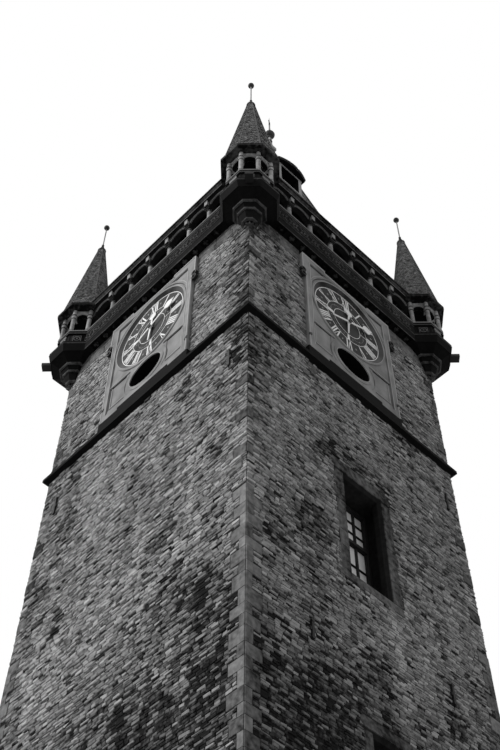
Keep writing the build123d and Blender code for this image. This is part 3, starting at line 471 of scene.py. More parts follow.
@dataclass
class Sketch:
    """The corner points, faces, finishes and tones of a mesh in the making."""

    points: list[Vector] = field(default_factory=list)
    faces: list[tuple[int, ...]] = field(default_factory=list)
    slots: list[int] = field(default_factory=list)
    tones: list[float] = field(default_factory=list)

    def face(self, corners: Iterable[Any], slot: int = 0, tone: float = 0.5) -> None:
        """Adds one face with its own corners.

        Args:
            corners: its points in turn, anticlockwise as seen from outside.
            slot: which finish it takes.
            tone: how light it is, from 0 to 1.
        """
        start = len(self.points)
        self.points += [Vector(c) for c in corners]
        self.faces.append(tuple(range(start, len(self.points))))
        self.slots.append(slot)
        self.tones.append(tone)

    def between(self, low: Outline, high: Outline, slot: int = 0, tone: float = 0.5, ends: bool = True) -> None:
        """Adds the closed band between two like outlines, and its two ends.

        Args:
            low: the first outline, anticlockwise as seen from the far side of the second.
            high: the second outline, with as many points.
            slot: which finish it takes.
            tone: how light it is.
            ends: whether the ends are closed.
        """
        for i in range(len(low)):
            self.face([low[i - 1], low[i], high[i], high[i - 1]], slot, tone)
        if ends:
            self.face(reversed(low), slot, tone)
            self.face(high, slot, tone)

    def block(self, low: Point, high: Point, slot: int = 0, tone: float = 0.5) -> None:
        """Adds a box between its lowest and highest corners.

        Args:
            low: the lowest corner.
            high: the highest corner.
            slot: which finish it takes.
            tone: how light it is, from 0 to 1.
        """
        (x0, y0, z0), (x1, y1, z1) = low, high
        foot = [(x0, y0, z0), (x1, y0, z0), (x1, y1, z0), (x0, y1, z0)]
        top = [(x, y, z1) for x, y, _ in foot]
        self.between(foot, top, slot, tone)

    def plate(self, outline: list[tuple[float, float]], back: float, front: float, slot: int = 0,
              tone: float = 0.5) -> None:
        """Adds a flat plate on a face, from how far its back stands out to how far its front does.

        Args:
            outline: across and up for each corner, anticlockwise as seen from outside.
            back: how far the back stands out of the wall plane.
            front: how far the front stands out.
            slot: which finish it takes.
            tone: how light it is.
        """
        low = [(x, -back, z) for x, z in outline]
        high = [(x, -front, z) for x, z in outline]
        self.between(low, high, slot, tone)

    def bar(self, x0: float, x1: float, z0: float, z1: float, back: float, front: float, slot: int = 0,
            tone: float = 0.5) -> None:
        """Adds an upright rectangular plate."""
        self.plate([(x0, z0), (x1, z0), (x1, z1), (x0, z1)], back, front, slot, tone)

    def arc(self, middle: tuple[float, float], inner: float, outer: float, back: float, front: float,
            first: float = 0.0, last: float = 360.0, steps: int = 48, slot: int = 0, tone: float = 0.5,
            squash: float = 1.0) -> None:
        """Adds a flat ring, or a part of one, on a face.

        Args:
            middle: across and up of its centre.
            inner: the inner radius.
            outer: the outer radius.
            back: how far its back stands out of the wall plane.
            front: how far its front stands out.
            first: the angle it starts at, in degrees from the right.
            last: the angle it ends at, anticlockwise.
            steps: how many straight pieces a full turn has.
            slot: which finish it takes.
            tone: how light it is.
            squash: how high it is for its width.
        """
        count = max(2, round(steps * (last - first) / 360))
        turns = [math.radians(first + (last - first) * k / count) for k in range(count + 1)]
        places = [(math.cos(a), math.sin(a) * squash) for a in turns]
        across, up = middle
        for (c0, s0), (c1, s1) in zip(places, places[1:]):
            near = [(across + inner * c0, up + inner * s0), (across + inner * c1, up + inner * s1)]
            far = [(across + outer * c0, up + outer * s0), (across + outer * c1, up + outer * s1)]
            self.face([(x, -front, z) for x, z in (near[0], far[0], far[1], near[1])], slot, tone)
            for edge in ((far[0], far[1]), (near[1], near[0])):
                (x0, z0), (x1, z1) = edge
                self.face([(x0, -back, z0), (x1, -back, z1), (x1, -front, z1), (x0, -front, z0)], slot, tone)

    def lathe(self, profile: list[tuple[float, float]], place: Matrix, sides: int = 16, slot: int = 0,
              tone: float = 0.5, first: float = 0.0) -> None:
        """Turns a profile round the Z axis of a place.

        Args:
            profile: radius and height of each ring, from the foot up.
            place: where the axis stands.
            sides: how many faces go round.
            slot: which finish it takes.
            tone: how light it is.
            first: the angle of the first corner, in degrees.
        """
        rings = []
        for radius, height in profile:
            ring = []
            for i in range(sides):
                angle = math.radians(first + 360 * i / sides)
                ring.append(place @ Vector((radius * math.cos(angle), radius * math.sin(angle), height)))
            rings.append(ring)
        for low, high in zip(rings, rings[1:]):
            self.between(low, high, slot, tone, ends=False)
        self.face(reversed(rings[0]), slot, tone)
        self.face(rings[-1], slot, tone)

    def rod(self, path: list[Any], radius: float, sides: int = 6, slot: int = 0, tone: float = 0.5,
            closed: bool = False) -> None:
        """Runs a thin round bar along a path.

        Args:
            path: the points of its middle line.
            radius: its radius in metres.
            sides: how many faces go round.
            slot: which finish it takes.
            tone: how light it is.
            closed: whether the last point joins the first.
        """
        line = [Vector(p) for p in path]
        count = len(line)
        rings = []
        for i in range(count):
            after = line[(i + 1) % count] if closed or i < count - 1 else line[i]
            before = line[i - 1] if closed or i > 0 else line[i]
            ahead = (after - before).normalized()
            across = ahead.orthogonal() if abs(ahead.y) > 0.99 else ahead.cross(Vector((0, 1, 0)))
            across.normalize()
            up = across.cross(ahead)
            turns = [2 * math.pi * k / sides for k in range(sides)]
            rings.append([line[i] + radius * (math.cos(t) * across - math.sin(t) * up) for t in turns])
        steps = range(count) if closed else range(1, count)
        for i in steps:
            self.between(rings[i - 1], rings[i], slot, tone, ends=False)
        if not closed:
            self.face(reversed(rings[0]), slot, tone)
            self.face(rings[-1], slot, tone)

    def place(self, matrix: Matrix, start: int = 0) -> None:
        """Moves the points from one number on."""
        for i in range(start, len(self.points)):
            self.points[i] = matrix @ self.points[i]

    def mesh(self, name: str, finishes: list[Finish]) -> bpy.types.Object:
        """Makes the object, at the origin, with its tones and finishes.

        Args:
            name: the piece's name.
            finishes: the finish of each slot.

        Returns:
            The object, linked to the scene.
        """
        data = bpy.data.meshes.new(name)
        data.from_pydata([tuple(p) for p in self.points], [], self.faces)
        for finish in finishes:
            data.materials.append(finish.make())
        data.polygons.foreach_set("material_index", self.slots)
        data.attributes.new("tone", "FLOAT", "FACE").data.foreach_set("value", self.tones)
        data.update()
        made = bpy.data.objects.new(name, data)
        bpy.context.scene.collection.objects.link(made)
        return made


def ball(radius: float, level: float, rings: int) -> list[tuple[float, float]]:
    """The profile of a ball between its poles.

    Args:
        radius: its radius.
        level: the height of its middle.
        rings: how many rings it has, an odd number.

    Returns:
        The radius and height of each ring, from the foot up.
    """
    turns = [math.pi * (i - rings // 2) / (rings + 1) for i in range(rings)]
    return [(radius * math.cos(a), level + radius * math.sin(a)) for a in turns]


@dataclass(frozen=True)
class StoneCut:
    """How laid stones or slates stand out from their bed, in metres."""

    least: float
    most: float
    wobble: float
    edge: Joint
    seed: int


class StoneCourses:
    """The Geometry Nodes tree that turns flat outlines into separate stones."""

    NAME = "stone_courses"

    def __init__(self) -> None:
        """Builds the tree with its named inputs."""
        tree = bpy.data.node_groups.new(self.NAME, "GeometryNodeTree")
        face = tree.interface
        face.new_socket("Geometry", in_out="INPUT", socket_type="NodeSocketGeometry")
        for name in ("Least proud", "Most proud", "Wobble", "Edge"):
            face.new_socket(name, in_out="INPUT", socket_type="NodeSocketFloat")
        face.new_socket("Seed", in_out="INPUT", socket_type="NodeSocketInt")
        face.new_socket("Stone", in_out="INPUT", socket_type="NodeSocketMaterial")
        face.new_socket("Geometry", in_out="OUTPUT", socket_type="NodeSocketGeometry")
        given = add(tree, "NodeGroupInput").outputs
        proud = add(tree, "FunctionNodeRandomValue", {2: given["Least proud"], 3: given["Most proud"],
                                                      "Seed": given["Seed"]}, data_type="FLOAT")
        raised = add(tree, "GeometryNodeExtrudeMesh", {"Mesh": given["Geometry"], "Offset Scale": proud.outputs[1],
                                                       "Individual": True}, mode="FACES")
        shrunk = add(tree, "GeometryNodeScaleElements", {"Geometry": raised.outputs["Mesh"],
                                                         "Selection": raised.outputs["Top"],
                                                         "Scale": given["Edge"]}, domain="FACE")
        shake = add(tree, "FunctionNodeRandomValue", {0: (-1.0, -1.0, -1.0), 1: (1.0, 1.0, 1.0),
                                                      "Seed": given["Seed"]}, data_type="FLOAT_VECTOR")
        offset = add(tree, "ShaderNodeVectorMath", {0: shake.outputs[0], "Scale": given["Wobble"]}, operation="SCALE")
        tops = add(tree, "GeometryNodeSetPosition", {"Geometry": shrunk.outputs[0], "Selection": raised.outputs["Top"],
                                                     "Offset": offset.outputs[0]})
        whole = add(tree, "GeometryNodeRealizeInstances", {0: tops.outputs[0]})
        dressed = add(tree, "GeometryNodeSetMaterial", {"Geometry": whole.outputs[0], "Material": given["Stone"]})
        add(tree, "NodeGroupOutput", {0: dressed.outputs[0]})
        self.tree = tree

    def lay(self, name: str, flats: Sketch, cut: StoneCut, finish: Finish) -> bpy.types.Object:
        """Raises the outlines of a sketch into stones.

        Args:
            name: the piece's name.
            flats: one flat face for each stone, facing outwards.
            cut: how the stones stand out.
            finish: their stone.

        Returns:
            The piece, as a plain mesh that rides on the tower.
        """
        base = flats.mesh(name + "_flat", [finish])
        layer = base.modifiers.new("stones", "NODES")
        layer.node_group = self.tree
        values = {"Least proud": cut.least, "Most proud": cut.most, "Wobble": cut.wobble,
                  "Edge": cut.edge.value, "Seed": cut.seed, "Stone": finish.make()}
        for item in self.tree.interface.items_tree:
            if item.in_out == "INPUT" and item.name in values:
                layer[item.identifier] = values[item.name]
        bpy.context.view_layer.update()
        ready = base.evaluated_get(bpy.context.evaluated_depsgraph_get())
        data = bpy.data.meshes.new_from_object(ready)
        made = bpy.data.objects.new(name, data)
        bpy.context.scene.collection.objects.link(made)
        bpy.data.objects.remove(base)
        return finished(made)


def finished(piece: bpy.types.Object, body: str = BODY) -> bpy.types.Object:
    """Rides a piece on its body and logs it.

    Args:
        piece: the object.
        body: the CAD body that it moves with.

    Returns:
        The same object.
    """
    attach(piece, body)
    log.info("%s: %d faces on %s", piece.name, len(piece.data.polygons), body)
    return piece


@dataclass
class Opening:
    """A rectangular window or doorway on a face, with the dressed stones round it."""

    middle: float
    width: float
    foot: float
    head: float
    jamb: float = 0.26
    lintel: float = 0.30
    sill: float = 0.16

    def rect(self) -> Rect:
        """The space that the opening and its stones take out of the rubble."""
        half = self.width / 2 + self.jamb
        return Rect(self.middle - half, self.middle + half, self.foot - self.sill, self.head + self.lintel)


@dataclass(frozen=True)
class Stain:
    """A soft-edged dark patch on a face, in metres."""

    x: float
    z: float
    wide: float
    high: float
    depth: float

    def share(self, x: float, z: float) -> float:
        """How much of the stain lies on a place, from 0 to 1."""
        far = math.hypot((x - self.x) / self.wide, (z - self.z) / self.high)
        return max(0.0, min(1.0, 1.5 - 1.5 * far))


# Soot down the near corner and over the upper window, and painted shade round the foot of the storeys that show
STAINS = {
    Side.FRONT: [
        Stain(2.62, 20.1, 0.55, 1.7, 0.32), Stain(2.5, 21.6, 0.5, 0.5, 0.15), Stain(2.6, 17.4, 0.45, 1.0, 0.2),
        Stain(2.3, 11.6, 1.0, 1.3, 0.22), Stain(1.6, 12.3, 0.8, 0.5, 0.18), Stain(0.0, 9.0, 4.0, 2.6, 0.22),
    ],
    Side.EAST: [
        Stain(-0.08, 16.05, 1.15, 0.60, 0.26), Stain(-2.5, 17.5, 0.6, 1.1, 0.25), Stain(-2.15, 13.1, 0.5, 0.4, 0.30),
        Stain(0.0, 9.0, 4.0, 2.6, 0.18), Stain(2.6, 10.5, 1.6, 4.0, 0.16), Stain(2.6, 16.0, 1.4, 5.0, 0.06),
    ],
    Side.REAR: [Stain(-1.4, 12.0, 1.2, 1.0, 0.20)],
    Side.WEST: [Stain(0.08, 16.05, 1.15, 0.60, 0.26)],
}


@dataclass
class Masonry:
    """The laid stones of one face: rubble courses between quoins, windows, panel and bands."""

    side: Side
    sizes: TowerSizes
    courses: StoneCourses
    openings: list[Opening]
    course_least: float = 0.031
    course_most: float = 0.064
    stone_least: float = 0.070
    stone_most: float = 0.240
    joint: float = 0.010
    undulation: float = 0.016
    quoin_height: float = 0.23
    quoin_short: float = 0.12
    quoin_long: float = 0.27
    quoin_sharp: float = 13.6
    quoin_kept: float = 0.4
    plinth_top: float = 0.9
    plinth_out: float = 0.12
    plinth_rows: tuple[float, ...] = (0.02, 0.40, 0.78)
    ashlar_height: float = 0.44
    hollows: float = 0.022
    flats: Sketch = field(default_factory=Sketch)
    blocks: Sketch = field(default_factory=Sketch)

    # What the rubble leaves free round the clock panel
    PANEL_LAP = 0.04
    PANEL_EAR_HEIGHT = 0.63
    PANEL_BASE_TOP = 18.69
    # Painted shade: the wall grows darker from this level down, over this height, as the tower's foot lies in shade
    SHADE_TOP = 13.2
    SHADE_FADE = 3.2
    # One stone in twelve is dark and one in fourteen light; the others keep to a middle tone and its spread
    DARK_UNDER = 0.08
    LIGHT_OVER = 0.93
    USUAL_TONE = (0.48, 0.15)
    # How far jamb stones, lintel and sill keep from the opening's edge
    REVEAL_EDGE = 0.05

    def __post_init__(self) -> None:
        """Seeds the face's own random numbers."""
        self.rng = random.Random(41 + self.side.value)
        self.half = self.sizes.half_length(self.side)

    def quoins(self) -> list[Rect]:
        """The corner blocks, long and short in turn, that match round each corner."""
        rows = []
        z = self.plinth_top
        number = 0
        spread = random.Random(7)
        while z < self.sizes.wall_top - self.ashlar_height:
            high = min(z + self.quoin_height * spread.uniform(0.8, 1.25), self.sizes.wall_top - self.ashlar_height)
            edge_kept = spread.random() < self.quoin_kept
            turned = (number + self.side.value) % 2
            widths = (self.quoin_long, self.quoin_short) if turned else (self.quoin_short, self.quoin_long)
            for sign, width in zip((-1, 1), (widths[0], widths[1] if self.side.value % 2 else widths[0])):
                reach = width * spread.uniform(0.9, 1.15)
                edge = sign * self.half
                x0, x1 = sorted((edge, edge - sign * reach))
                kept = z < self.quoin_sharp or edge_kept
                if kept and not (z < self.sizes.string_top and high > self.sizes.string_foot):
                    rows.append(Rect(x0, x1, z, high))
            z = high
            number += 1
        return rows

    def blocked(self) -> list[Rect]:
        """Everything on the face that the rubble goes round."""
        sizes = self.sizes
        wide, ear = sizes.panel_half, sizes.panel_ear_half
        half = wide - self.PANEL_LAP
        taken = [o.rect() for o in self.openings]
        taken.append(Rect(-half, half, sizes.panel_foot, sizes.panel_top))
        taken.append(Rect(-ear, ear, sizes.panel_top - self.PANEL_EAR_HEIGHT, sizes.panel_top))
        taken.append(Rect(-wide, wide, sizes.panel_foot, self.PANEL_BASE_TOP))
        taken.append(Rect(-self.half, self.half, sizes.string_foot, sizes.string_top))
        return taken + self.quoins()

    def weather(self, x: float, z: float) -> float:
        """How much lighter or darker the wall is at a place, from soot and rain stains, and from painted shade toward
        the foot.

        Args:
            x: distance along the wall from its middle.
            z: height over the ground.

        Returns:
            What is added to the tone there.
        """
        broad = noise.noise(Vector((x * 0.5, z * 0.35, 11.0 + self.side.value)))
        patch = noise.noise(Vector((x * 1.3, z * 0.9, 31.0 + self.side.value)))
        # Painted shade, darker toward the foot of the tower
        low = max(0.0, min(1.0, (self.SHADE_TOP - z) / self.SHADE_FADE))
        shade = 0.20 * broad - 0.20 * low - (0.22 if patch < -0.36 else 0.0)
        for stain in STAINS[self.side]:
            shade -= stain.depth * stain.share(x, z)
        return shade

    def tone(self, x: float, z: float) -> float:
        """The tone of one rubble stone.

        Args:
            x: distance along the wall from its middle.
            z: height over the ground.

        Returns:
            The tone, from 0 to 1.
        """
        pick = self.rng.random()
        if pick < self.DARK_UNDER:
            own = self.rng.uniform(0.05, 0.2)
        elif pick > self.LIGHT_OVER:
            own = self.rng.uniform(0.70, 0.95)
        else:
            own = self.rng.gauss(*self.USUAL_TONE)
        return max(0.0, min(1.0, own + self.weather(x, z)))

    def drift(self, x: float, z: float) -> tuple[float, float]:
        """How far a joint wanders from the level line at a place.

        Args:
            x: distance along the wall from its middle.
            z: height over the ground.

        Returns:
            How far along the wall, and how far up.
        """
        up = noise.noise(Vector((x * 1.1, z * 0.6, 3.0 + self.side.value)))
        across = noise.noise(Vector((x * 2.3, z * 2.9, 17.0 + self.side.value)))
        return self.undulation * 0.6 * across, self.undulation * 1.6 * up

    def stone(self, x0: float, x1: float, z0: float, z1: float) -> None:
        """Outlines one rubble stone, a little out of square, or leaves a hollow where it fell out.

        Args:
            x0: its left end.
            x1: its right end.
            z0: its foot.
            z1: its head.
        """
        pits = noise.noise(Vector((x0 * 1.9, z0 * 1.9, 51.0 + self.side.value)))
        if self.rng.random() < self.hollows * (5.0 if pits > 0.25 else 0.6):
            return
        gap = self.joint * self.rng.uniform(0.3, 0.8)
        corners = []
        for x, z in ((x0 + gap, z0 + gap), (x1 - gap, z0 + gap), (x1 - gap, z1 - gap), (x0 + gap, z1 - gap)):
            dx, dz = self.drift(x, z)
            out = self.rng.uniform(-0.004, 0.004)
            corners.append((max(-self.half, min(self.half, x + dx + out)), 0.0, z + dz + out * 0.6))
        self.flats.face(corners, tone=self.tone((x0 + x1) / 2, z0))

    def spans(self, z0: float, z1: float, taken: list[Rect]) -> list[tuple[float, float]]:
        """The free lengths of a course between what stands in the wall.

        Args:
            z0: the foot of the course.
            z1: its head.
            taken: what the rubble goes round.

        Returns:
            The two ends of each free length.
        """
        free = [(-self.half, self.half)]
        for rect in taken:
            if not rect.crosses(z0 + 0.004, z1 - 0.004):
                continue
            cut = []
            for a, b in free:
                if rect.x1 <= a or rect.x0 >= b:
                    cut.append((a, b))
                    continue
                if rect.x0 - a > 0.03:
                    cut.append((a, rect.x0))
                if b - rect.x1 > 0.03:
                    cut.append((rect.x1, b))
            free = cut
        return free

    def lay_rubble(self, z0: float, z1: float, taken: list[Rect]) -> None:
        """Fills a height of the wall with courses of flat stones.

        Args:
            z0: the foot of that height.
            z1: its head.
            taken: what the rubble goes round.
        """
        z = z0
        while z < z1 - 0.02:
            high = min(z + self.rng.uniform(self.course_least, self.course_most), z1)
            near = [r for r in taken if r.crosses(z, high)]
            for a, b in self.spans(z, high, near):
                x = a
                while x < b - 0.01:
                    length = self.rng.triangular(self.stone_least, self.stone_most, self.stone_least * 1.6)
                    end = b if b - x - length < self.stone_least * 0.7 else min(b, x + length)
                    if high - z > 0.07 and self.rng.random() < 0.4:
                        middle = z + (high - z) * self.rng.uniform(0.38, 0.62)
                        self.stone(x, end, z, middle)
                        self.stone(x, end, middle, high)
                    else:
                        self.stone(x, end, z, high)
                    x = end
            z = high

    def dressed(self, rect: Rect, tone: float) -> None:
        """Outlines one dressed block.

        Args:
            rect: the place it fills.
            tone: how light it is.
        """
        gap = self.joint * 0.35
        x0, x1, z0, z1 = rect.x0 + gap, rect.x1 - gap, rect.z0 + gap, rect.z1 - gap
        if rect.x0 <= -self.half + 0.001:
            x0 = -self.half
        if rect.x1 >= self.half - 0.001:
            x1 = self.half
        self.blocks.face([(x0, 0, z0), (x1, 0, z0), (x1, 0, z1), (x0, 0, z1)], tone=tone)

    def lay_quoins(self) -> None:
        """Outlines the corner blocks, the paler ones lower down."""
        for rect in self.quoins():
            base = 0.62 if rect.z0 < self.quoin_sharp else 0.30
            shade = base + self.rng.uniform(-0.26, 0.16) + 0.6 * self.weather(rect.x0, rect.z0)
            self.dressed(rect, max(0.05, min(0.95, shade)))

    def lay_ashlar(self) -> None:
        """Outlines the smooth blocks of the last courses under the gallery."""
        top = self.sizes.wall_top
        rows = [top - self.ashlar_height, top - self.ashlar_height / 2, top]
        for low, high in zip(rows, rows[1:]):
            for sign in (-1, 1):
                x = self.sizes.panel_ear_half
                while x < self.half - 0.05:
                    end = min(x + self.rng.uniform(0.38, 0.62), self.half)
                    end = self.half if self.half - end < 0.2 else end
                    x0, x1 = sorted((sign * x, sign * end))
                    self.dressed(Rect(x0, x1, low, high), self.rng.uniform(0.22, 0.5))
                    x = end

    def lay_surround(self, opening: Opening) -> None:
        """Outlines the jamb stones, lintel and sill of an opening.

        Args:
            opening: the opening that they stand round.
        """
        half = opening.width / 2 + self.REVEAL_EDGE
        z = opening.foot
        long_one = True
        while z < opening.head - 0.05:
            high = min(z + self.rng.uniform(0.34, 0.5), opening.head)
            high = opening.head if opening.head - high < 0.15 else high
            reach = opening.jamb if long_one else opening.jamb * 0.8
            for sign in (-1, 1):
                x0, x1 = sorted((opening.middle + sign * half, opening.middle + sign * (half + reach)))
                self.dressed(Rect(x0, x1, z, high), self.rng.uniform(0.15, 0.42) + 0.5 * self.weather(x0, z))
            long_one = not long_one
            z = high
        wide = half + opening.jamb
        rows = [(opening.foot - opening.sill, opening.foot),
                (opening.head + self.REVEAL_EDGE, opening.head + opening.lintel)]
        for low, high in rows:
            rect = Rect(opening.middle - wide, opening.middle + wide, low, high)
            self.dressed(rect, 0.3 + 0.5 * self.weather(opening.middle, low))

    def lay_plinth(self) -> None:
        """Outlines the large blocks of the plinth, which stand in front of the wall."""
        out, rows = self.plinth_out, self.plinth_rows
        reach = self.half + out
        for low, high in zip(rows, rows[1:]):
            x = -reach
            while x < reach - 0.01:
                end = min(x + self.rng.uniform(0.55, 0.9), reach)
                end = reach if reach - end < 0.3 else end
                clear = [(x, end)]
                for opening in self.openings:
                    if opening.foot < 1.0 and self.side is Side.EAST:
                        edge = opening.width / 2
                        clear = [c for c in ((x, min(end, -edge)), (max(x, edge), end)) if c[1] - c[0] > 0.05]
                for a, b in clear:
                    gap = self.joint * 0.35
                    corners = [(a + gap, -out, low + gap), (b - gap, -out, low + gap),
                               (b - gap, -out, high - gap), (a + gap, -out, high - gap)]
                    self.blocks.face(corners, tone=self.rng.uniform(0.2, 0.42))
                x = end

    def build(self) -> None:
        """Lays the whole face and makes its two pieces."""
        taken = self.blocked()
        self.lay_plinth()
        top = self.sizes.wall_top - self.ashlar_height
        self.lay_rubble(self.plinth_top + 0.02, self.sizes.string_foot, taken)
        self.lay_rubble(self.sizes.string_top, top, taken)
        self.lay_quoins()
        self.lay_ashlar()
        for opening in self.openings:
            self.lay_surround(opening)
        place = self.sizes.stand(self.side)
        self.flats.place(place)
        self.blocks.place(place)
        turn = self.side.value
        rough = StoneCut(least=0.003, most=0.022, wobble=0.0055, edge=Joint.ROUGH, seed=5 + turn)
        fine = StoneCut(least=0.012, most=0.018, wobble=0.0, edge=Joint.DRESSED, seed=15 + turn)
        self.courses.lay(f"{self.side.label}_rubble", self.flats, rough, RUBBLE)
        self.courses.lay(f"{self.side.label}_dressed_stones", self.blocks, fine, DRESSED)


@dataclass
class Slope:
    """One flat slope of a roof, given by its corners from the lower left, seen from outside."""

    corners: tuple[Vector, Vector, Vector, Vector]
    exposure: float
    width: float
    lift: float = 0.007
    gap: float = 0.004

    # How far a slate laps the next row, the narrowest slate left at an edge, and the slates' tone and its spread
    LAP = 1.04
    NARROWEST = 0.12
    USUAL_TONE = (0.38, 0.26)

    def slates(self, flats: Sketch, rng: random.Random, skip: list[tuple[Vector, Vector]]) -> None:
        """Outlines rows of slates, each row half a slate over from the last.

        Args:
            flats: the sketch that they go into.
            rng: the random numbers of the roof.
            skip: boxes that no slate stands in.
        """
        low_left, low_right, high_right, high_left = self.corners
        out = (low_right - low_left).cross(high_left - low_left).normalized()
        run = ((low_left + low_right) / 2 - (high_left + high_right) / 2).length
        rows = max(1, round(run / self.exposure))
        for row in range(rows):
            t0, t1 = row / rows, min(1.0, (row + self.LAP) / rows)
            a0, b0 = low_left.lerp(high_left, t0), low_right.lerp(high_right, t0)
            a1, b1 = low_left.lerp(high_left, t1), low_right.lerp(high_right, t1)
            length = (b0 - a0).length
            count = max(1, round(length / self.width))
            start = -0.5 if row % 2 else 0.0
            for k in range(count + 1):
                s0, s1 = max(0.0, (start + k) / count), min(1.0, (start + k + 1) / count)
                if s1 - s0 < self.NARROWEST / count:
                    continue
                inset = self.gap / max(length, 0.01)
                s0, s1 = s0 + inset, s1 - inset
                raised = out * (self.lift * rng.uniform(0.8, 1.25))
                corners = [a0.lerp(b0, s0) + raised, a0.lerp(b0, s1) + raised, a1.lerp(b1, s1), a1.lerp(b1, s0)]
                middle = sum(corners, Vector()) / 4
                if any(all(lo[i] <= middle[i] <= hi[i] for i in range(3)) for lo, hi in skip):
                    continue
                flats.face(corners, tone=max(0.0, min(1.0, rng.gauss(*self.USUAL_TONE))))


@dataclass
class Roofs:
    """The slates of the hipped roof, its skirt and the four spires."""

    courses: StoneCourses
    sizes: RoofSizes
    roof_exposure: float = 0.115
    roof_slate: float = 0.105
    spire_exposure: float = 0.062
    spire_slate: float = 0.058

    # No slate lies under a spire, out to this share of its radius
    SPIRE_SHARE = 0.86

    def ring(self, level: Point) -> list[Vector]:
        """The corners of one level of the roof, from the front left.

        Args:
            level: the outline's two half lengths and its height.

        Returns:
            The four corners.
        """
        half_x, half_y, z = level
        return [Vector((-half_x, -half_y, z)), Vector((half_x, -half_y, z)),
                Vector((half_x, half_y, z)), Vector((-half_x, half_y, z))]

    def band(self, low: list[Vector], high: list[Vector], exposure: float, width: float) -> list[Slope]:
        """The slopes between two level outlines.

        Args:
            low: the lower outline.
            high: the upper outline.
            exposure: how much of each slate shows.
            width: the width of a slate.

        Returns:
            One slope for each side.
        """
        slopes = []
        for i in range(len(low)):
            k = (i + 1) % len(low)
            slopes.append(Slope((low[i], low[k], high[k], high[i]), exposure, width))
        return slopes

    def spire_ring(self, centre: Vector, radius: float, z: float) -> list[Vector]:
        """The corners of a spire at a level.

        Args:
            centre: a point on the spire's axis.
            radius: from the axis to the middle of a side.
            z: the height of the level.

        Returns:
            The eight corners.
        """
        grow = radius / math.cos(math.radians(CORNER))
        turns = [math.radians(CORNER + 2 * CORNER * i) for i in range(8)]
        return [Vector((centre.x + grow * math.cos(a), centre.y + grow * math.sin(a), z)) for a in turns]

    def build(self) -> None:
        """Lays the main roof and the spires as two pieces."""
        rng = random.Random(91)
        sizes = self.sizes
        eave, foot, ridge = (self.ring(level) for level in (sizes.eave, sizes.foot, sizes.ridge))
        skip = []
        for name in ("east_dormer", "west_dormer"):
            low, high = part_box(name)
            skip.append((low - Vector((0.0, -0.06, 0.0)), high - Vector((0.0, 0.06, 0.07))))
        reach = sizes.spire_radius * self.SPIRE_SHARE
        for x, y in sizes.turrets():
            skip.append((Vector((x - reach, y - reach, 0)), Vector((x + reach, y + reach, sizes.foot[2]))))
        main = Sketch()
        for slope in self.band(eave, foot, self.roof_exposure, self.roof_slate):
            slope.slates(main, rng, skip)
        for slope in self.band(foot, ridge, self.roof_exposure, self.roof_slate):
            slope.slates(main, rng, skip)
        cut = StoneCut(least=0.004, most=0.007, wobble=0.0, edge=Joint.DRESSED, seed=61)
        self.courses.lay("main_roof_slates", main, cut, SLATE)
        spires = Sketch()
        for x, y in sizes.turrets():
            centre = Vector((x, y, 0))
            low = self.spire_ring(centre, sizes.spire_radius, sizes.spire_foot)
            high = self.spire_ring(centre, sizes.spire_tip, sizes.spire_top)
            for slope in self.band(low, high, self.spire_exposure, self.spire_slate):
                slope.slates(spires, rng, [])
        fine = StoneCut(least=0.003, most=0.009, wobble=0.0, edge=Joint.DRESSED, seed=62)
        self.courses.lay("spire_slates", spires, fine, SLATE)


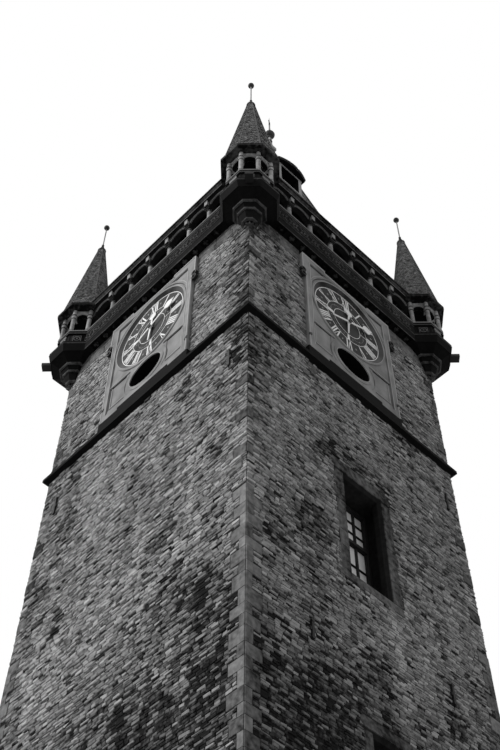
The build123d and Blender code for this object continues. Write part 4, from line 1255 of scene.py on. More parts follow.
@dataclass
class DialFigures:
    """The painted rings, hour figures and marks of one dial, on its face."""

    side: Side
    sizes: TowerSizes
    face: float = 0.025
    proud: float = 0.003
    outer_ring: float = 0.938
    figure_foot: float = 0.600
    figure_head: float = 0.905
    inner_rings: tuple[float, float] = (0.585, 0.385)
    sketch: Sketch = field(default_factory=Sketch)

    # Strokes in metres: thick ones, the thin ones of V and X, and the serifs' height
    THICK = 0.034
    THIN_V = 0.014
    THIN_X = 0.013
    SERIF = 0.012
    # Diamonds between the figures: how far out and how large
    DIAMONDS = ((0.765, 0.034), (0.485, 0.022))
    # Rays between the inner rings: their angle and width
    RAYS = ((0.0, 0.110), (90.0, 0.012), (180.0, 0.070), (270.0, 0.110))
    # The thin arcs in the middle: how far out they are centred, their radius and their half angle
    ARC_OUT = 0.20
    ARC_RADIUS = 0.300
    ARC_HALF = 62
    NUMERALS = ("XII", "I", "II", "III", "IIII", "V", "VI", "VII", "VIII", "IX", "X", "XI")
    WIDTHS = {"I": 0.056, "V": 0.122, "X": 0.128}

    def turned(self, points: list[tuple[float, float]], angle: float) -> list[tuple[float, float]]:
        """Turns points drawn at twelve o'clock to an angle clockwise, and lifts them to the dial.

        Args:
            points: across and outwards for each point.
            angle: degrees clockwise from twelve.

        Returns:
            Across and up on the tower's face.
        """
        c, s = math.cos(math.radians(angle)), math.sin(math.radians(angle))
        return [(x * c + r * s, self.sizes.dial_level + r * c - x * s) for x, r in points]

    def mark(self, points: list[tuple[float, float]], angle: float, slot: int = 0, tone: float = 0.5) -> None:
        """Adds one flat mark on the dial."""
        self.sketch.plate(self.turned(points, angle), self.face, self.face + self.proud, slot, tone)

    def stroke(self, x0: float, r0: float, x1: float, r1: float, wide: float, angle: float) -> None:
        """Adds one slanted stroke of a figure, from its foot to its head."""
        half = wide / 2
        self.mark([(x0 - half, r0), (x0 + half, r0), (x1 + half, r1), (x1 - half, r1)], angle)

    def numeral(self, text: str, angle: float) -> None:
        """Writes one hour figure with its feet to the centre.

        Args:
            text: the figure's letters.
            angle: degrees clockwise from twelve.
        """
        foot, head = self.figure_foot, self.figure_head
        x = -sum(self.WIDTHS[c] for c in text) / 2
        for letter in text:
            wide = self.WIDTHS[letter]
            middle = x + wide / 2
            if letter == "I":
                self.stroke(middle, foot, middle, head, self.THICK, angle)
            elif letter == "V":
                self.stroke(middle + 0.004, foot, x + 0.018, head, self.THICK, angle)
                self.stroke(middle + 0.004, foot, x + wide - 0.012, head, self.THIN_V, angle)
            else:
                self.stroke(x + wide - 0.022, foot, x + 0.022, head, self.THICK, angle)
                self.stroke(x + 0.014, foot, x + wide - 0.014, head, self.THIN_X, angle)
            for level in (foot, head):
                inner = level - 0.005 if level == foot else level - 0.007
                if letter != "V" or level == head:
                    left, right, outer = x + 0.003, x + wide - 0.003, inner + self.SERIF
                    self.mark([(left, inner), (right, inner), (right, outer), (left, outer)], angle)
            x += wide

    def diamond(self, radius: float, size: float, angle: float) -> None:
        """Adds a small four-pointed mark between the figures."""
        self.mark([(0, radius - size), (size * 0.62, radius), (0, radius + size), (-size * 0.62, radius)], angle, 1)

    def build(self) -> None:
        """Draws the dial and makes its piece."""
        level = (0.0, self.sizes.dial_level)
        front = self.face + self.proud
        self.sketch.arc(level, self.outer_ring - 0.008, self.outer_ring + 0.009, self.face, front, steps=96)
        for radius in self.inner_rings:
            self.sketch.arc(level, radius - 0.006, radius + 0.006, self.face, front, steps=72)
        for hour, text in enumerate(self.NUMERALS):
            self.numeral(text, 30.0 * hour)
            for radius, size in self.DIAMONDS:
                self.diamond(radius, size, 30.0 * hour + 15.0)
        outer, inner = self.inner_rings
        for angle, wide in self.RAYS:
            half = wide / 2
            self.mark([(-half * 0.75, inner), (half * 0.75, inner), (half, outer), (-half, outer)], angle)
        for turn in (60.0, 150.0, 240.0, 330.0):
            across, up = math.cos(math.radians(turn)), math.sin(math.radians(turn))
            middle = (self.ARC_OUT * across, self.sizes.dial_level + self.ARC_OUT * up)
            self.sketch.arc(middle, self.ARC_RADIUS, self.ARC_RADIUS + 0.006, self.face, self.face + 0.001,
                            turn - self.ARC_HALF, turn + self.ARC_HALF, slot=1)
        self.sketch.place(self.sizes.stand(self.side))
        finished(self.sketch.mesh(f"{self.side.label}_dial_figures", [WHITE, GREY_PAINT]))


@dataclass
class PanelMouldings:
    """The thin run mouldings, fixings and iron of one clock panel."""

    side: Side
    sizes: TowerSizes
    field_face: float = 0.060
    frame_face: float = 0.090
    inner: float = 1.110
    middle_half: float = 0.667
    ear_foot: float = 21.42
    oculus_level: float = 19.31
    sketch: Sketch = field(default_factory=Sketch)

    # The dial's splayed seat: its radius and how far it stands out, at its back and at its front
    SPLAY_BACK = (0.957, 0.0262)
    SPLAY_FRONT = (1.042, 0.0842)
    # The lining of the round opening: half its width and height, and its two ends
    SLEEVE_WIDE = 0.463
    SLEEVE_HIGH = 0.343
    SLEEVE_BACK = 0.690
    SLEEVE_FRONT = -0.055
    # The levels of the figure-eight anchors' two rings
    ANCHOR_LEVELS = (21.19, 21.35)

    def pair(self, x0: float, x1: float, z0: float, z1: float, back: float, front: float, tone: float) -> None:
        """Adds a bar and its mirror image."""
        self.sketch.bar(x0, x1, z0, z1, back, front, 0, tone)
        self.sketch.bar(-x1, -x0, z0, z1, back, front, 0, tone)

    def frame(self) -> None:
        """Runs the beads along the frame, pale as painted highlights, and the dark quirks inside them, painted as the
        shade under the top rail.
        """
        face, inner, ear = self.frame_face, self.inner, self.sizes.panel_ear_half
        top, half = self.sizes.panel_top, self.middle_half
        self.pair(1.236, 1.254, 18.70, self.ear_foot, face - 0.02, face + 0.010, 0.85)
        self.pair(ear - 0.018, ear + 0.004, self.ear_foot, top, face - 0.02, face + 0.010, 0.85)
        self.pair(inner + 0.004, inner + 0.020, 18.86, 21.86, face - 0.01, face + 0.008, 0.8)
        self.pair(half, ear, top - 0.022, top + 0.004, face - 0.02, face + 0.012, 0.9)
        self.sketch.bar(-half, half, top - 0.102, top - 0.078, face - 0.02, face + 0.012, 0, 0.9)
        self.pair(0.654, 0.672, top - 0.10, top, face - 0.02, face + 0.012, 0.9)
        self.pair(0.70, inner, 21.832, 21.866, self.field_face - 0.01, self.field_face + 0.020, 0.12)

    def fields(self) -> None:
        """Runs the rails, short fillets and grooves of the lower fields: dark lines under them as painted shade, pale
        tops as painted highlights.
        """
        face = self.field_face
        self.pair(0.50, 1.105, 19.730, 19.748, face - 0.02, face + 0.020, 0.7)
        self.pair(0.50, 1.105, 19.702, 19.730, face - 0.02, face + 0.004, 0.08)
        self.pair(0.62, 1.04, 18.985, 19.012, face - 0.03, face + 0.004, 0.22)
        self.pair(0.62, 1.04, 19.012, 19.026, face - 0.03, face + 0.012, 0.75)
        self.sketch.bar(-1.08, 1.08, 18.852, 18.880, face - 0.02, face + 0.004, 0, 0.12)
        self.sketch.bar(-1.08, 1.08, 18.880, 18.892, face - 0.02, face + 0.012, 0, 0.7)
        self.pair(1.040, 1.056, 19.03, 19.68, face - 0.03, face + 0.004, 0.72)
        for turn in (0.0, 180.0):
            self.sketch.arc((0, self.oculus_level), 0.62, 0.632, face - 0.02, face + 0.006, turn - 36, turn + 36, 60,
                            tone=0.35, squash=0.9)

    def rings(self) -> None:
        """Runs the pale beads round the dial's splay and over its hood as painted highlights, and a dark arc under the
        hood as painted shade.
        """
        level = (0.0, self.sizes.dial_level)
        face = self.field_face
        self.sketch.arc(level, 1.046, 1.054, face + 0.02, face + 0.029, steps=96, tone=0.85)
        for first, last in ((22, 52), (128, 158)):
            self.sketch.arc(level, 1.180, 1.192, face, face + 0.030, first, last, steps=96, tone=0.8)
        self.sketch.arc(level, 1.118, 1.130, face - 0.01, face + 0.002, 14, 166, steps=96, tone=0.15)
        self.sketch.arc((0, self.oculus_level), 0.466, 0.478, face, face + 0.018, steps=64, tone=0.8, squash=0.745)

    def splay(self) -> None:
        """Lines the dial's splayed seat with plaster toned dark as painted shade, darkest at the top under the hood.
        """
        turns = [2 * math.pi * k / 96 for k in range(97)]
        level = self.sizes.dial_level
        for a, b in zip(turns, turns[1:]):
            back, front = ([(r * math.cos(t), -out, level + r * math.sin(t)) for t in (a, b)]
                           for r, out in (self.SPLAY_BACK, self.SPLAY_FRONT))
            self.sketch.face([back[0], front[0], front[1], back[1]], 0, 0.16 - 0.12 * math.sin(a))

    def sleeve(self) -> None:
        """Lines the round opening with near black, right through the wall, as painted shade."""
        turns = [2 * math.pi * k / 48 for k in range(48)]
        ring = [(self.SLEEVE_WIDE * math.cos(a), self.oculus_level + self.SLEEVE_HIGH * math.sin(a)) for a in turns]
        back, front = self.SLEEVE_BACK, self.SLEEVE_FRONT
        for (x0, z0), (x1, z1) in zip(ring, ring[1:] + ring[:1]):
            self.sketch.face([(x0, back, z0), (x0, front, z0), (x1, front, z1), (x1, back, z1)], 2)

    def irons(self) -> None:
        """Bolts the figure-eight anchors and small clamps at the panel's edges."""
        ear = self.sizes.panel_ear_half
        for sign in (-1, 1):
            for z in self.ANCHOR_LEVELS:
                self.sketch.arc((sign * (ear + 0.005), z), 0.045, 0.075, 0.06, 0.125, steps=16, slot=1)
            x0, x1 = sorted((sign * 1.20, sign * 1.27))
            self.sketch.plate([(x0, 19.04), (x1, 19.08), (x1, 19.15), (x0, 19.11)], 0.088, 0.104, 1)
            self.sketch.bar(sign * ear - 0.012, sign * ear + 0.012, 21.10, 21.44, 0.05, 0.085, 1)

    def build(self) -> None:
        """Runs everything and makes the piece."""
        self.frame()
        self.fields()
        self.rings()
        self.splay()
        self.sleeve()
        self.irons()
        self.sketch.place(self.sizes.stand(self.side))
        finished(self.sketch.mesh(f"{self.side.label}_panel_mouldings", [PANEL_LIGHT_AND_SHADE, IRON, SHADE_LINING]))


@dataclass
class GalleryCarving:
    """The carved stone of the gallery on one face: soffit, parapet, capitals, arch rolls and eaves."""

    side: Side
    sizes: TowerSizes
    spacing: float = 0.655
    count: int = 6
    coffer_start: float = 0.025
    ceiling: float = 22.250
    parapet_face: float = 0.1626
    sill_face: float = 0.1771
    arch_face: float = 0.130
    capital_foot: float = 23.660
    capital_top: float = 23.790
    ornament_level: float = 22.755
    arch_level: float = 23.646
    turret_reach: float = 0.642
    sketch: Sketch = field(default_factory=Sketch)

    # Outlines and profiles in metres: radius and height, from the foot up
    BUD = [(0.030, -0.034), (0.034, -0.012), (0.012, 0.0)]
    PETAL = [(0.018, -0.016), (0.052, -0.030), (0.068, 0.0), (0.052, 0.030), (0.018, 0.016)]
    PETAL_DEPTH = 0.026
    COLLAR = [(0.056, 23.606), (0.066, 23.616), (0.066, 23.636), (0.056, 23.648)]
    FOOT_RING = [(0.058, 23.128), (0.068, 23.140), (0.062, 23.172), (0.055, 23.180)]
    STUD = [(0.016, -0.002), (0.012, 0.008)]

    @property
    def free(self) -> float:
        """Half the length between the turrets' cornices."""
        return self.sizes.half_length(self.side) - self.turret_reach

    def soffit(self) -> None:
        """Hangs a four-petalled rosette in each coffer, toned near black as painted shade."""
        pitch = self.spacing / 2
        number = int(self.free / pitch)
        for i in range(-number, number + 1):
            x, p = pitch * i, self.coffer_start + 0.075
            place = Matrix.Translation((x, -p, self.ceiling))
            self.sketch.lathe(self.BUD, place, 8, 0, 0.05)
            for k in range(4):
                turn = place @ Matrix.Rotation(math.radians(90 * k), 4, "Z")
                low = [turn @ Vector((a, b, -self.PETAL_DEPTH)) for a, b in self.PETAL]
                high = [turn @ Vector((a, b, 0.0)) for a, b in self.PETAL]
                self.sketch.between(low, high, 0, 0.03)

    def parapet(self) -> None:
        """Carves a running row of rings and leaves between two fillets, with the sill's pale edge as a painted
        highlight and a dark line under it as painted shade.
        """
        half, face = self.free + 0.14, self.parapet_face
        pitch = self.spacing / 2
        number = int(half / pitch)
        middle = self.ornament_level
        self.sketch.bar(-half, half, 22.575, 22.600, face - 0.01, face + 0.012, 0, 0.20)
        self.sketch.bar(-half, half, 22.915, 22.940, face - 0.01, face + 0.012, 0, 0.12)
        sill = self.sill_face
        self.sketch.bar(-half + 0.02, half - 0.02, 23.062, 23.090, sill - 0.02, sill + 0.012, 0, 0.55)
        self.sketch.bar(-half + 0.02, half - 0.02, 22.966, 22.990, sill - 0.02, sill + 0.008, 0, 0.18)
        for i in range(-number, number + 1):
            x = pitch * i
            self.sketch.arc((x, middle), 0.078, 0.100, face - 0.01, face + 0.016, steps=16, tone=0.12)
            self.sketch.arc((x, middle), 0.0, 0.030, face - 0.01, face + 0.020, steps=8, tone=0.16)
            for sign in (-1, 1):
                for lift in (-1, 1):
                    x0, z0 = x + sign * 0.082, middle + lift * 0.050
                    x1, z1 = x + sign * 0.150, middle + lift * 0.118
                    leaf = [(x0, z0), (x0 + sign * 0.045, z0 + lift * 0.010), (x1, z1),
                            (x0 + sign * 0.008, z1 - lift * 0.02)]
                    if sign * lift < 0:
                        leaf.reverse()
                    self.sketch.plate(leaf, face - 0.01, face + 0.014, 0, 0.11)

    def cornice(self) -> None:
        """Runs the thin lines over the soffit's edge and along the eaves, toned near black as painted shade, with one
        paler line as a painted highlight.
        """
        half = self.free
        self.sketch.bar(-half, half, 22.402, 22.418, 0.215, 0.232, 0, 0.10)
        self.sketch.bar(-half, half, 22.204, 22.222, 0.190, 0.212, 0, 0.14)
        wide = self.free + 0.02
        self.sketch.bar(-wide, wide, 24.011, 24.034, 0.190, 0.208, 0, 0.36)
        low = [(-wide, -0.205, 24.040), (wide, -0.205, 24.040), (wide, -0.247, 24.088), (-wide, -0.247, 24.088)]
        high = [(x, y - 0.006, z - 0.006) for x, y, z in low]
        self.sketch.between(low, high, 0, 0.10)
        self.sketch.bar(-wide, wide, 24.098, 24.154, 0.255, 0.268, 0, 0.02)

    def columns(self) -> None:
        """Carves the capitals and collars, toned dark as painted shade, and the pale edge of each arch as a painted
        highlight.
        """
        first = -self.spacing * (self.count - 1) / 2
        face = self.arch_face
        for i in range(self.count):
            x = first + self.spacing * i
            place = Matrix.Translation((x, 0.075 - face, 0))
            self.sketch.lathe(self.COLLAR, place, 12, 0, 0.12)
            self.sketch.lathe(self.FOOT_RING, place, 12, 0, 0.5)
            foot, top = self.capital_foot + 0.062, self.capital_top - 0.014
            self.sketch.block((x - 0.068, -face - 0.018, foot), (x + 0.068, 0.150 - face + 0.018, top), 0, 0.08)
            for lift in (0.30, 0.72):
                z = foot + (top - foot) * lift
                for shift in (-0.044, 0.0, 0.044):
                    spot = Matrix.Translation((x + shift, -face - 0.018, z)) @ Matrix.Rotation(math.pi / 2, 4, "X")
                    self.sketch.lathe(self.STUD, spot, 6, 0, 0.22)
            self.sketch.bar(x - 0.049, x + 0.049, 23.930, 23.956, face + 0.03, face + 0.058, 0, 0.6)
            self.sketch.bar(x - 0.047, x + 0.047, 23.793, 23.926, face - 0.01, face + 0.053, 0, 0.78)
        bays = [self.spacing * (k - self.count / 2) for k in range(self.count + 1)]
        for x in bays:
            if abs(x) + 0.27 < self.free + 0.17:
                middle = (x, self.arch_level)
                self.sketch.arc(middle, 0.262, 0.276, face - 0.02, face + 0.010, 31, 149, tone=0.36)
                self.sketch.arc(middle, 0.306, 0.316, face - 0.01, face + 0.005, 48, 132, tone=0.12)

    def build(self) -> None:
        """Carves everything and makes the piece."""
        self.soffit()
        self.parapet()
        self.cornice()
        self.columns()
        self.sketch.place(self.sizes.stand(self.side))
        finished(self.sketch.mesh(f"{self.side.label}_gallery_carving", [CARVED_LIGHT_SHADE]))


@dataclass
class TurretCarving:
    """The carved and leaded work of the four corner turrets."""

    sizes: RoofSizes
    ornament_level: float = 22.762
    ornament_face: float = 0.493
    column_circle: float = 0.448
    arch_radius: float = 0.1205
    arch_level: float = 23.750
    arch_foot: float = 23.665
    carved: Sketch = field(default_factory=Sketch)
    leaded: Sketch = field(default_factory=Sketch)

    # Profiles in metres: radius, or half the width across flats, and height, from the foot up
    PENDANT = [(0.012, 21.395), (0.05, 21.42), (0.062, 21.46), (0.045, 21.50), (0.06, 21.508)]
    LIPS = ((0.151, 21.640), (0.248, 21.900), (0.340, 22.064))
    STRAP = [(0.604, 22.405), (0.618, 22.412), (0.618, 22.432), (0.604, 22.440)]
    SILL_EDGE = [(0.490, 23.058), (0.511, 23.066), (0.511, 23.088), (0.495, 23.092)]
    SILL_FOOT = [(0.490, 22.968), (0.508, 22.972), (0.508, 22.990), (0.490, 22.996)]
    CORNICE = [(0.500, 23.966), (0.566, 23.988), (0.640, 23.990), (0.640, 24.086), (0.560, 24.087)]
    COLLAR = [(0.054, 23.606), (0.063, 23.616), (0.063, 23.636), (0.054, 23.648)]
    FOOT_RING = [(0.054, 23.122), (0.066, 23.130), (0.060, 23.160), (0.053, 23.170)]
    CAPITAL = [(0.060, 23.712), (0.069, 23.722), (0.069, 23.772), (0.060, 23.786)]
    CAP = [(0.092, 27.560), (0.112, 27.575), (0.112, 27.620), (0.100, 27.640), (0.100, 27.60)]
    ROD_RINGS = ([(0.020, 27.86), (0.034, 27.885), (0.034, 27.915), (0.020, 27.935)],
                 [(0.018, 28.770), (0.032, 28.785), (0.030, 28.812)])

    def ring(self, place: Matrix, profile: list[tuple[float, float]], tone: float) -> None:
        """Runs an eight-sided moulding round a turret, given by half its width across flats."""
        grown = [(r * GROW, z) for r, z in profile]
        self.carved.lathe(grown, place, 8, 0, tone, CORNER)

    def flat(self, place: Matrix, number: int) -> Matrix:
        """Where one of a turret's eight flats lies, facing -Y in its own frame."""
        return place @ Matrix.Rotation(math.radians(2 * CORNER * number + 90), 4, "Z")

    def corner(self, place: Matrix, number: int) -> Matrix:
        """Where one of a turret's eight corners lies, along +X in its own frame."""
        return place @ Matrix.Rotation(math.radians(CORNER + 2 * CORNER * number), 4, "Z")

    def corbel(self, place: Matrix) -> None:
        """Carves the leafy pendant and the thin lips of the rings.

        Args:
            place: where the turret's axis stands.
        """
        self.carved.lathe(self.PENDANT, place, 8, 0, 0.10)
        for k in range(8):
            turn = place @ Matrix.Rotation(math.radians(45 * k), 4, "Z")
            leaf = [(0.05, -0.026, 21.50), (0.125, 0.0, 21.47), (0.05, 0.026, 21.50)]
            top = [(0.06, -0.034, 21.56), (0.105, 0.0, 21.575), (0.06, 0.034, 21.56)]
            self.carved.between([turn @ Vector(c) for c in leaf], [turn @ Vector(c) for c in top], 0, 0.16)
        for radius, z in self.LIPS:
            self.ring(place, [(radius - 0.01, z - 0.064), (radius + 0.004, z - 0.060), (radius + 0.008, z - 0.010),
                              (radius - 0.01, z - 0.004)], 0.13)

    def band(self, place: Matrix) -> None:
        """Carves the straps on the cushions, the sill's pale edge as a painted highlight with a dark line under it as
        painted shade, and the near-black cornices as painted shade.

        Args:
            place: where the turret's axis stands.
        """
        self.ring(place, self.STRAP, 0.12)
        self.ring(place, self.SILL_EDGE, 0.62)
        self.ring(place, self.SILL_FOOT, 0.22)
        self.ring(place, self.CORNICE, 0.03)
        face, middle = self.ornament_face, (0, self.ornament_level)
        for k in range(8):
            start = len(self.carved.points)
            self.carved.arc(middle, 0.062, 0.080, face - 0.006, face + 0.010, steps=16, tone=0.30)
            self.carved.arc(middle, 0.0, 0.024, face - 0.006, face + 0.014, steps=8, tone=0.30)
            for x in (-0.092, 0.092):
                self.carved.bar(x - 0.008, x + 0.008, 22.665, 22.860, face - 0.01, face + 0.008, 0, 0.25)
            for z in (22.655, 22.862):
                self.carved.bar(-0.10, 0.10, z - 0.008, z + 0.008, face - 0.01, face + 0.008, 0, 0.25)
            if k % 2 == 0:
                self.carved.bar(-0.104, 0.104, 22.670, 22.955, 0.480, 0.499, 0, 0.5)
            self.carved.place(self.flat(place, k), start)

    def lantern(self, place: Matrix) -> None:
        """Carves the collars and capitals of the small columns, toned dark as painted shade, edges each arch in pale
        as a painted highlight, and lines the arches and the lantern's ceiling with near black as painted shade.

        Args:
            place: where the turret's axis stands.
        """
        radius, level = self.arch_radius, self.arch_level
        turns = [math.pi * i / 16 for i in range(17)]
        head = [(radius * math.cos(a), level + radius * math.sin(a)) for a in turns]
        head = [(radius, self.arch_foot)] + head + [(-radius, self.arch_foot)]
        for k in range(8):
            stand = self.corner(place, k) @ Matrix.Translation((self.column_circle * GROW, 0, 0))
            self.carved.lathe(self.COLLAR, stand, 10, 0, 0.14)
            self.carved.lathe(self.FOOT_RING, stand, 10, 0, 0.5)
            self.carved.lathe(self.CAPITAL, stand, 10, 0, 0.16)
            start = len(self.carved.points)
            self.carved.arc((0, level), 0.120, 0.132, 0.415, 0.434, 12, 168, 32, 0, 0.60)
            for (x0, z0), (x1, z1) in zip(head, head[1:]):
                self.carved.face([(x0, -0.308, z0), (x0, -0.418, z0), (x1, -0.418, z1), (x1, -0.308, z1)], 1)
            self.carved.place(self.flat(place, k), start)
        self.carved.lathe([(0.300 * GROW, 23.925), (0.300 * GROW, 23.945)], place, 8, 1, 0.5, CORNER)

    def spire(self, place: Matrix) -> None:
        """Leads the hips of the spire, caps its tip and darkens the ball over it.

        Args:
            place: where the turret's axis stands.
        """
        sizes = self.sizes
        foot, top = sizes.spire_radius * GROW + 0.006, sizes.spire_tip * GROW + 0.006
        for k in range(8):
            turn = self.corner(place, k)
            line = [turn @ Vector((foot, 0, sizes.spire_foot + 0.01)), turn @ Vector((top, 0, sizes.spire_top))]
            self.leaded.rod(line, 0.011, 5)
        self.leaded.lathe(self.CAP, place, 16)
        self.leaded.lathe(self.ROD_RINGS[0], place, 12)
        self.leaded.lathe(ball(0.0775, 28.882, 13), place, 20)
        self.leaded.lathe(self.ROD_RINGS[1], place, 12)

    def build(self) -> None:
        """Carves the four turrets and makes the two pieces."""
        for x, y in self.sizes.turrets():
            place = Matrix.Translation((x, y, 0))
            self.corbel(place)
            self.band(place)
            self.lantern(place)
            self.spire(place)
        finished(self.carved.mesh("turret_carving", [CARVED_LIGHT_SHADE, SHADE_LINING]))
        finished(self.leaded.mesh("spire_leading", [SHEET_METAL]))


@dataclass
class WindowBars:
    """The glazing bars of the casements on one face."""

    side: Side
    sizes: TowerSizes
    openings: list[Opening]
    back: float = -0.512
    front: float = -0.470
    rebate: float = 0.137
    frame_bar: float = 0.050
    mullion: float = 0.126
    bar: float = 0.036
    thin_bar: float = 0.012
    thin_bar_set_back: float = 0.004
    transom_at: float = 0.63
    transom: float = 0.070
    columns: int = 2
    rows: int = 3
    sketch: Sketch = field(default_factory=Sketch)

    def sash(self, x0: float, x1: float, z0: float, z1: float) -> None:
        """Fills one light with upright and level bars.

        Args:
            x0: its left end.
            x1: its right end.
            z0: its foot.
            z1: its head.
        """
        half, thin = self.bar / 2, self.thin_bar / 2
        for i in range(1, self.columns):
            x = x0 + (x1 - x0) * i / self.columns
            self.sketch.bar(x - half, x + half, z0, z1, self.back, self.front)
        for i in range(1, self.rows):
            z = z0 + (z1 - z0) * i / self.rows
            self.sketch.bar(x0, x1, z - thin, z + thin, self.back, self.front - self.thin_bar_set_back)

    def build(self) -> None:
        """Makes the bars of every window on the face."""
        for opening in self.openings:
            half = opening.width / 2 + self.rebate - self.frame_bar
            height = opening.head - opening.foot
            middle = opening.head - height * (1 - self.transom_at)
            for x0, x1 in ((opening.middle - half, opening.middle - self.mullion / 2),
                           (opening.middle + self.mullion / 2, opening.middle + half)):
                self.sash(x0, x1, middle + self.transom / 2, opening.head - self.frame_bar)
                self.sash(x0, x1, opening.foot + self.frame_bar, middle - self.transom / 2)
        self.sketch.place(self.sizes.stand(self.side))
        finished(self.sketch.mesh(f"{self.side.label}_window_bars", [OAK]))


@dataclass
class RoofTrim:
    """The leaded hips and ridge, the dormers' boards and canopy edges, and the ridge posts' rings."""

    sizes: RoofSizes
    finial_x: float = 0.772
    canopy_level: float = 29.935
    canopy_x: float = 1.580
    canopy_half: float = 0.513
    canopy_bow: float = 0.110
    board_count: int = 6
    board_foot: float = 28.93
    board_pitch: float = 0.145
    sketch: Sketch = field(default_factory=Sketch)
    wood: Sketch = field(default_factory=Sketch)

    # Rings of a ridge post and its ball, with how many sides each has: radius and height, from the foot up
    POST_RINGS = (
        (12, [(0.10, 32.40), (0.135, 32.43), (0.135, 32.47), (0.095, 32.52)]),
        (12, [(0.060, 32.92), (0.082, 32.94), (0.082, 32.97), (0.060, 32.99)]),
        (12, [(0.045, 33.22), (0.076, 33.24), (0.076, 33.275), (0.045, 33.30)]),
        (20, [(0.1495, 33.42), (0.158, 33.43), (0.158, 33.45), (0.1495, 33.46)]),
        (24, ball(0.1535, 33.44, 15)),
        (12, [(0.030, 33.575), (0.044, 33.60), (0.030, 33.63)]),
    )

    def hips(self) -> None:
        """Runs lead along the hips, the ridge and the break over the skirt."""
        x, y, z = self.sizes.foot
        half, _, top = self.sizes.ridge
        for sx in (-1, 1):
            for sy in (-1, 1):
                end = (sx * (half + 0.01), sy * 0.035, top + 0.005)
                self.sketch.rod([(sx * (x + 0.012), sy * (y + 0.012), z), end], 0.026, 6)
        self.sketch.rod([(-half, 0, top + 0.012), (half, 0, top + 0.012)], 0.045, 8)
        wide, deep = x + 0.01, y + 0.01
        corners = [(-wide, -deep, z), (wide, -deep, z), (wide, deep, z), (-wide, deep, z)]
        for a, b in zip(corners, corners[1:] + corners[:1]):
            self.sketch.rod([a, b], 0.016, 5)

    def posts(self) -> None:
        """Rings the ridge posts and the balls over them."""
        for sx in (-1, 1):
            place = Matrix.Translation((sx * self.finial_x, 0, 0))
            for sides, profile in self.POST_RINGS:
                self.sketch.lathe(profile, place, sides)

    def dormer(self, turn: Matrix) -> None:
        """Boards a dormer's cheeks and sill, leads the edge of its canopy, and lines its inside and the canopy's
        underside with near black as painted shade.

        Args:
            turn: the turn that brings it to the dormer's side.
        """
        start = len(self.sketch.points)
        x, half, level = self.canopy_x, self.canopy_half, self.canopy_level
        shares = [k / 6 - 1 for k in range(13)]
        bow = [(x + self.canopy_bow * (1 - share * share), half * share, level) for share in shares]
        self.sketch.rod(bow, 0.040, 8)
        for y in (-half, half):
            self.sketch.rod([(1.16, y, level), (x, y, level)], 0.036, 8)
        self.sketch.place(turn, start)
        start = len(self.wood.points)
        for i in range(self.board_count):
            z = self.board_foot + self.board_pitch * i
            for sign in (-1, 1):
                y0, y1 = sorted((sign * 0.440, sign * 0.452))
                self.wood.block((1.20 + 0.02 * i, y0, z), (1.505, y1, z + 0.135), 0, 0.5)
        self.wood.block((1.500, -0.470, 28.862), (1.555, 0.470, 28.905), 0, 0.5)
        self.wood.block((1.500, -0.450, 29.80), (1.530, 0.450, 29.84), 0, 0.5)
        # Near-black plates inside the cheeks, under the ceiling and under the canopy: painted shade
        for sign in (-1, 1):
            y0, y1 = sorted((sign * 0.333, sign * 0.327))
            self.wood.block((1.14, y0, 28.905), (1.503, y1, 29.795), 1)
            y0, y1 = sorted((sign * 0.445, sign * 0.511))
            self.wood.block((1.16, y0, 29.892), (1.575, y1, 29.899), 1)
        self.wood.block((1.14, -0.333, 29.790), (1.503, 0.333, 29.799), 1)
        foot, top = 29.892, 29.899
        edge = [(x - 0.006, y) for x, y, _ in bow] + [(1.518, y) for _, y, _ in reversed(bow)]
        self.wood.between([(x, y, foot) for x, y in edge], [(x, y, top) for x, y in edge], 1)
        self.wood.place(turn, start)

    def build(self) -> None:
        """Makes the leadwork and the dormers' boards."""
        self.hips()
        self.posts()
        for turn in (Matrix.Identity(4), Matrix.Rotation(math.pi, 4, "Z")):
            self.dormer(turn)
        finished(self.sketch.mesh("roof_leading", [SHEET_METAL]))
        finished(self.wood.mesh("dormer_boards", [PAINTED, SHADE_LINING]))


@dataclass
class DoorDressing:
    """The boards, straps and ring of the door."""

    wall_face: float = 2.860
    half: float = 0.525
    foot: float = 0.150
    springing: float = 1.700
    boards: int = 6
    strap_levels: tuple[float, float] = (0.45, 1.45)
    bolts: int = 6
    bolt_pitch: float = 0.15
    wood: Sketch = field(default_factory=Sketch)
    iron: Sketch = field(default_factory=Sketch)

    def build(self) -> None:
        """Makes the boards and the ironwork, on the door's outer face."""
        wide = 2 * self.half / self.boards
        for i in range(self.boards):
            x0 = -self.half + wide * i
            x1 = x0 + wide - 0.008
            tops = [self.springing + math.sqrt(max(0.0, self.half ** 2 - x * x)) - 0.01 for x in (x0 + 0.004, x1)]
            outline = [(x0 + 0.004, self.foot + 0.01), (x1, self.foot + 0.01), (x1, tops[1]), (x0 + 0.004, tops[0])]
            self.wood.plate(outline, -0.352, -0.330)
        for z in self.strap_levels:
            self.iron.bar(-self.half + 0.03, self.half - 0.14, z, z + 0.05, -0.332, -0.322)
            for k in range(self.bolts):
                spot = Matrix.Translation((-0.44 + self.bolt_pitch * k, 0.322, z + 0.025))
                place = spot @ Matrix.Rotation(math.pi / 2, 4, "X")
                self.iron.lathe([(0.012, 0.0), (0.006, 0.007)], place, 6)
        self.iron.arc((0.36, 0.98), 0.040, 0.052, -0.330, -0.316, steps=16)
        turn = Side.EAST.place(self.wall_face)
        for sketch in (self.wood, self.iron):
            sketch.place(turn)
        finished(self.wood.mesh("door_boards", [OAK]))
        finished(self.iron.mesh("door_iron", [IRON]))


